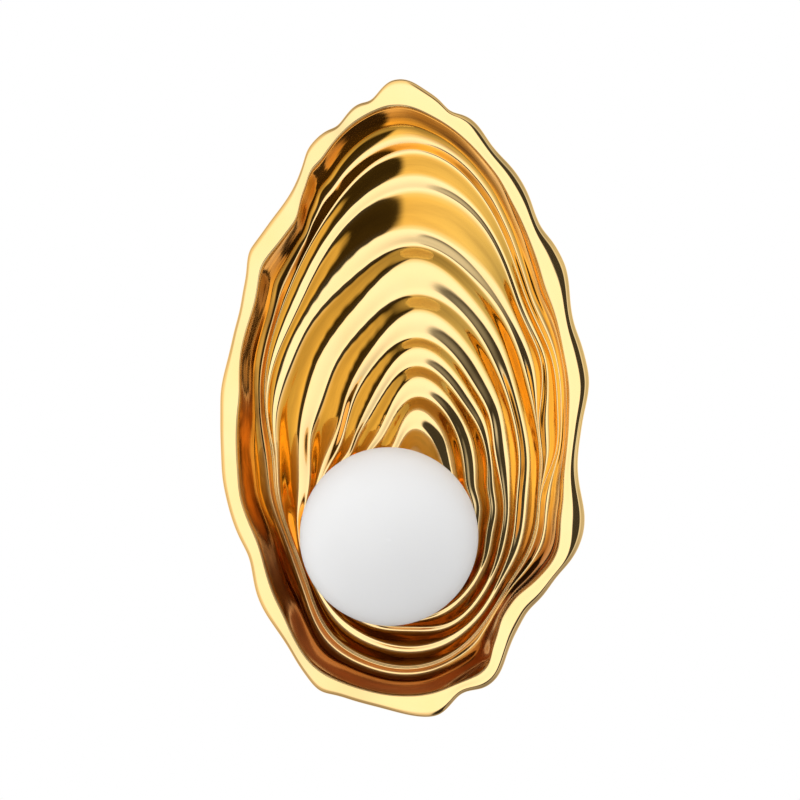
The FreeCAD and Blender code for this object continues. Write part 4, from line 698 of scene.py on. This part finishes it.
def make_world():
    """A white tent of light with a dark opening that reaches from the camera down to the right."""
    world = bpy.data.worlds.new("tent")
    bpy.context.scene.world = world
    world.use_nodes = True
    nodes, links = world.node_tree.nodes, world.node_tree.links
    place = nodes.new("ShaderNodeTexCoord")
    split = nodes.new("ShaderNodeSeparateXYZ")
    links.new(place.outputs["Generated"], split.inputs[0])
    toward = math_of(nodes, links, "MULTIPLY", split.outputs["Y"], -1)
    side = math_of(nodes, links, "ARCTAN2", split.outputs["X"], toward)
    rise = math_of(nodes, links, "ARCSINE", split.outputs["Z"])
    mask = 1
    for direction, clear, dark in OPENING_EDGES:
        angle = {"side": side, "rise": rise}[direction]
        edge = ramp_of(nodes, links, angle, math.radians(clear), math.radians(dark))
        mask = math_of(nodes, links, "MULTIPLY", mask, edge)
    tone = nodes.new("ShaderNodeMix")
    tone.data_type = "RGBA"
    links.new(mask, tone.inputs["Factor"])
    tone.inputs[6].default_value = (1, 1, 1, 1)
    tone.inputs[7].default_value = (*OPENING_COLOUR, 1)
    strengths = [curve_of(nodes, links, toward, -1, 1, TENT_ROUND),
                 curve_of(nodes, links, rise, -math.pi / 2, math.pi / 2, TENT_RISE)]
    strength = math_of(nodes, links, "MULTIPLY", *strengths)
    tent = nodes["Background"]
    links.new(tone.outputs[2], tent.inputs["Color"])
    links.new(strength, tent.inputs["Strength"])
    soft = nodes.new("ShaderNodeBackground")
    soft_parts = [curve_of(nodes, links, rise, -math.pi / 2, math.pi / 2, SOFT_RISE),
                  curve_of(nodes, links, split.outputs["X"], -1, 1, SOFT_SIDE)]
    links.new(math_of(nodes, links, "MULTIPLY", *soft_parts), soft.inputs["Strength"])
    paper = nodes.new("ShaderNodeBackground")
    for light in (soft, paper):
        light.inputs["Color"].default_value = (1, 1, 1, 1)
    rays = nodes.new("ShaderNodeLightPath")
    shown = soft
    for ray, lit in (("Is Camera Ray", paper), ("Is Glossy Ray", tent)):
        mix = nodes.new("ShaderNodeMixShader")
        links.new(rays.outputs[ray], mix.inputs["Fac"])
        links.new(shown.outputs[0], mix.inputs[1])
        links.new(lit.outputs[0], mix.inputs[2])
        shown = mix
    links.new(shown.outputs[0], nodes["World Output"].inputs["Surface"])


def make_camera():
    """Level with the shell's middle, straight from the front."""
    data = bpy.data.cameras.new("camera")
    camera = bpy.data.objects.new("camera", data)
    bpy.context.scene.collection.objects.link(camera)
    rim_out, distance, frame_width = 0.088, 4.0, 0.5396
    middle_right, middle_up = 0.0074, 0.0917
    data.sensor_width = 36
    data.lens = data.sensor_width * distance / frame_width
    camera.location = (middle_right, -(rim_out + distance), middle_up)
    camera.rotation_euler = (math.radians(90), 0, 0)
    data.clip_end = 50
    bpy.context.scene.camera = camera


def make_floor():
    """A plain pale floor that only the camera sees, from above: the pieces are lit by the world alone."""
    size, level = 2.0, -0.45
    corners = [(-size, -size, level), (size, -size, level), (size, size, level), (-size, size, level)]
    floor = new_mesh("floor", corners, [(0, 1, 2, 3)], smooth=False)
    pale = Surface("floor_paper", roughness=0.9)
    pale.colour(pale.blend(pale.noise(2), (0.90, 0.90, 0.89), (0.92, 0.92, 0.91)))
    rays = pale.nodes.new("ShaderNodeLightPath")
    side = pale.nodes.new("ShaderNodeNewGeometry")
    clear = pale.nodes.new("ShaderNodeBsdfTransparent")
    mix = pale.nodes.new("ShaderNodeMixShader")
    indirect = math_of(pale.nodes, pale.links, "SUBTRACT", 1, rays.outputs["Is Camera Ray"])
    hidden = math_of(pale.nodes, pale.links, "MAXIMUM", indirect, side.outputs["Backfacing"])
    pale.links.new(hidden, mix.inputs["Fac"])
    pale.links.new(pale.shader.outputs[0], mix.inputs[1])
    pale.links.new(clear.outputs[0], mix.inputs[2])
    pale.links.new(mix.outputs[0], pale.nodes["Material Output"].inputs["Surface"])
    floor.data.materials.append(pale.material)


def make_stage():
    make_camera()
    make_world()
    make_floor()
    bpy.context.scene.view_settings.view_transform = "Standard"


make_stage()
finishes = make_finishes()
finish_nodes(finishes)
set_material(make_shell(), finishes["gold_shell"])
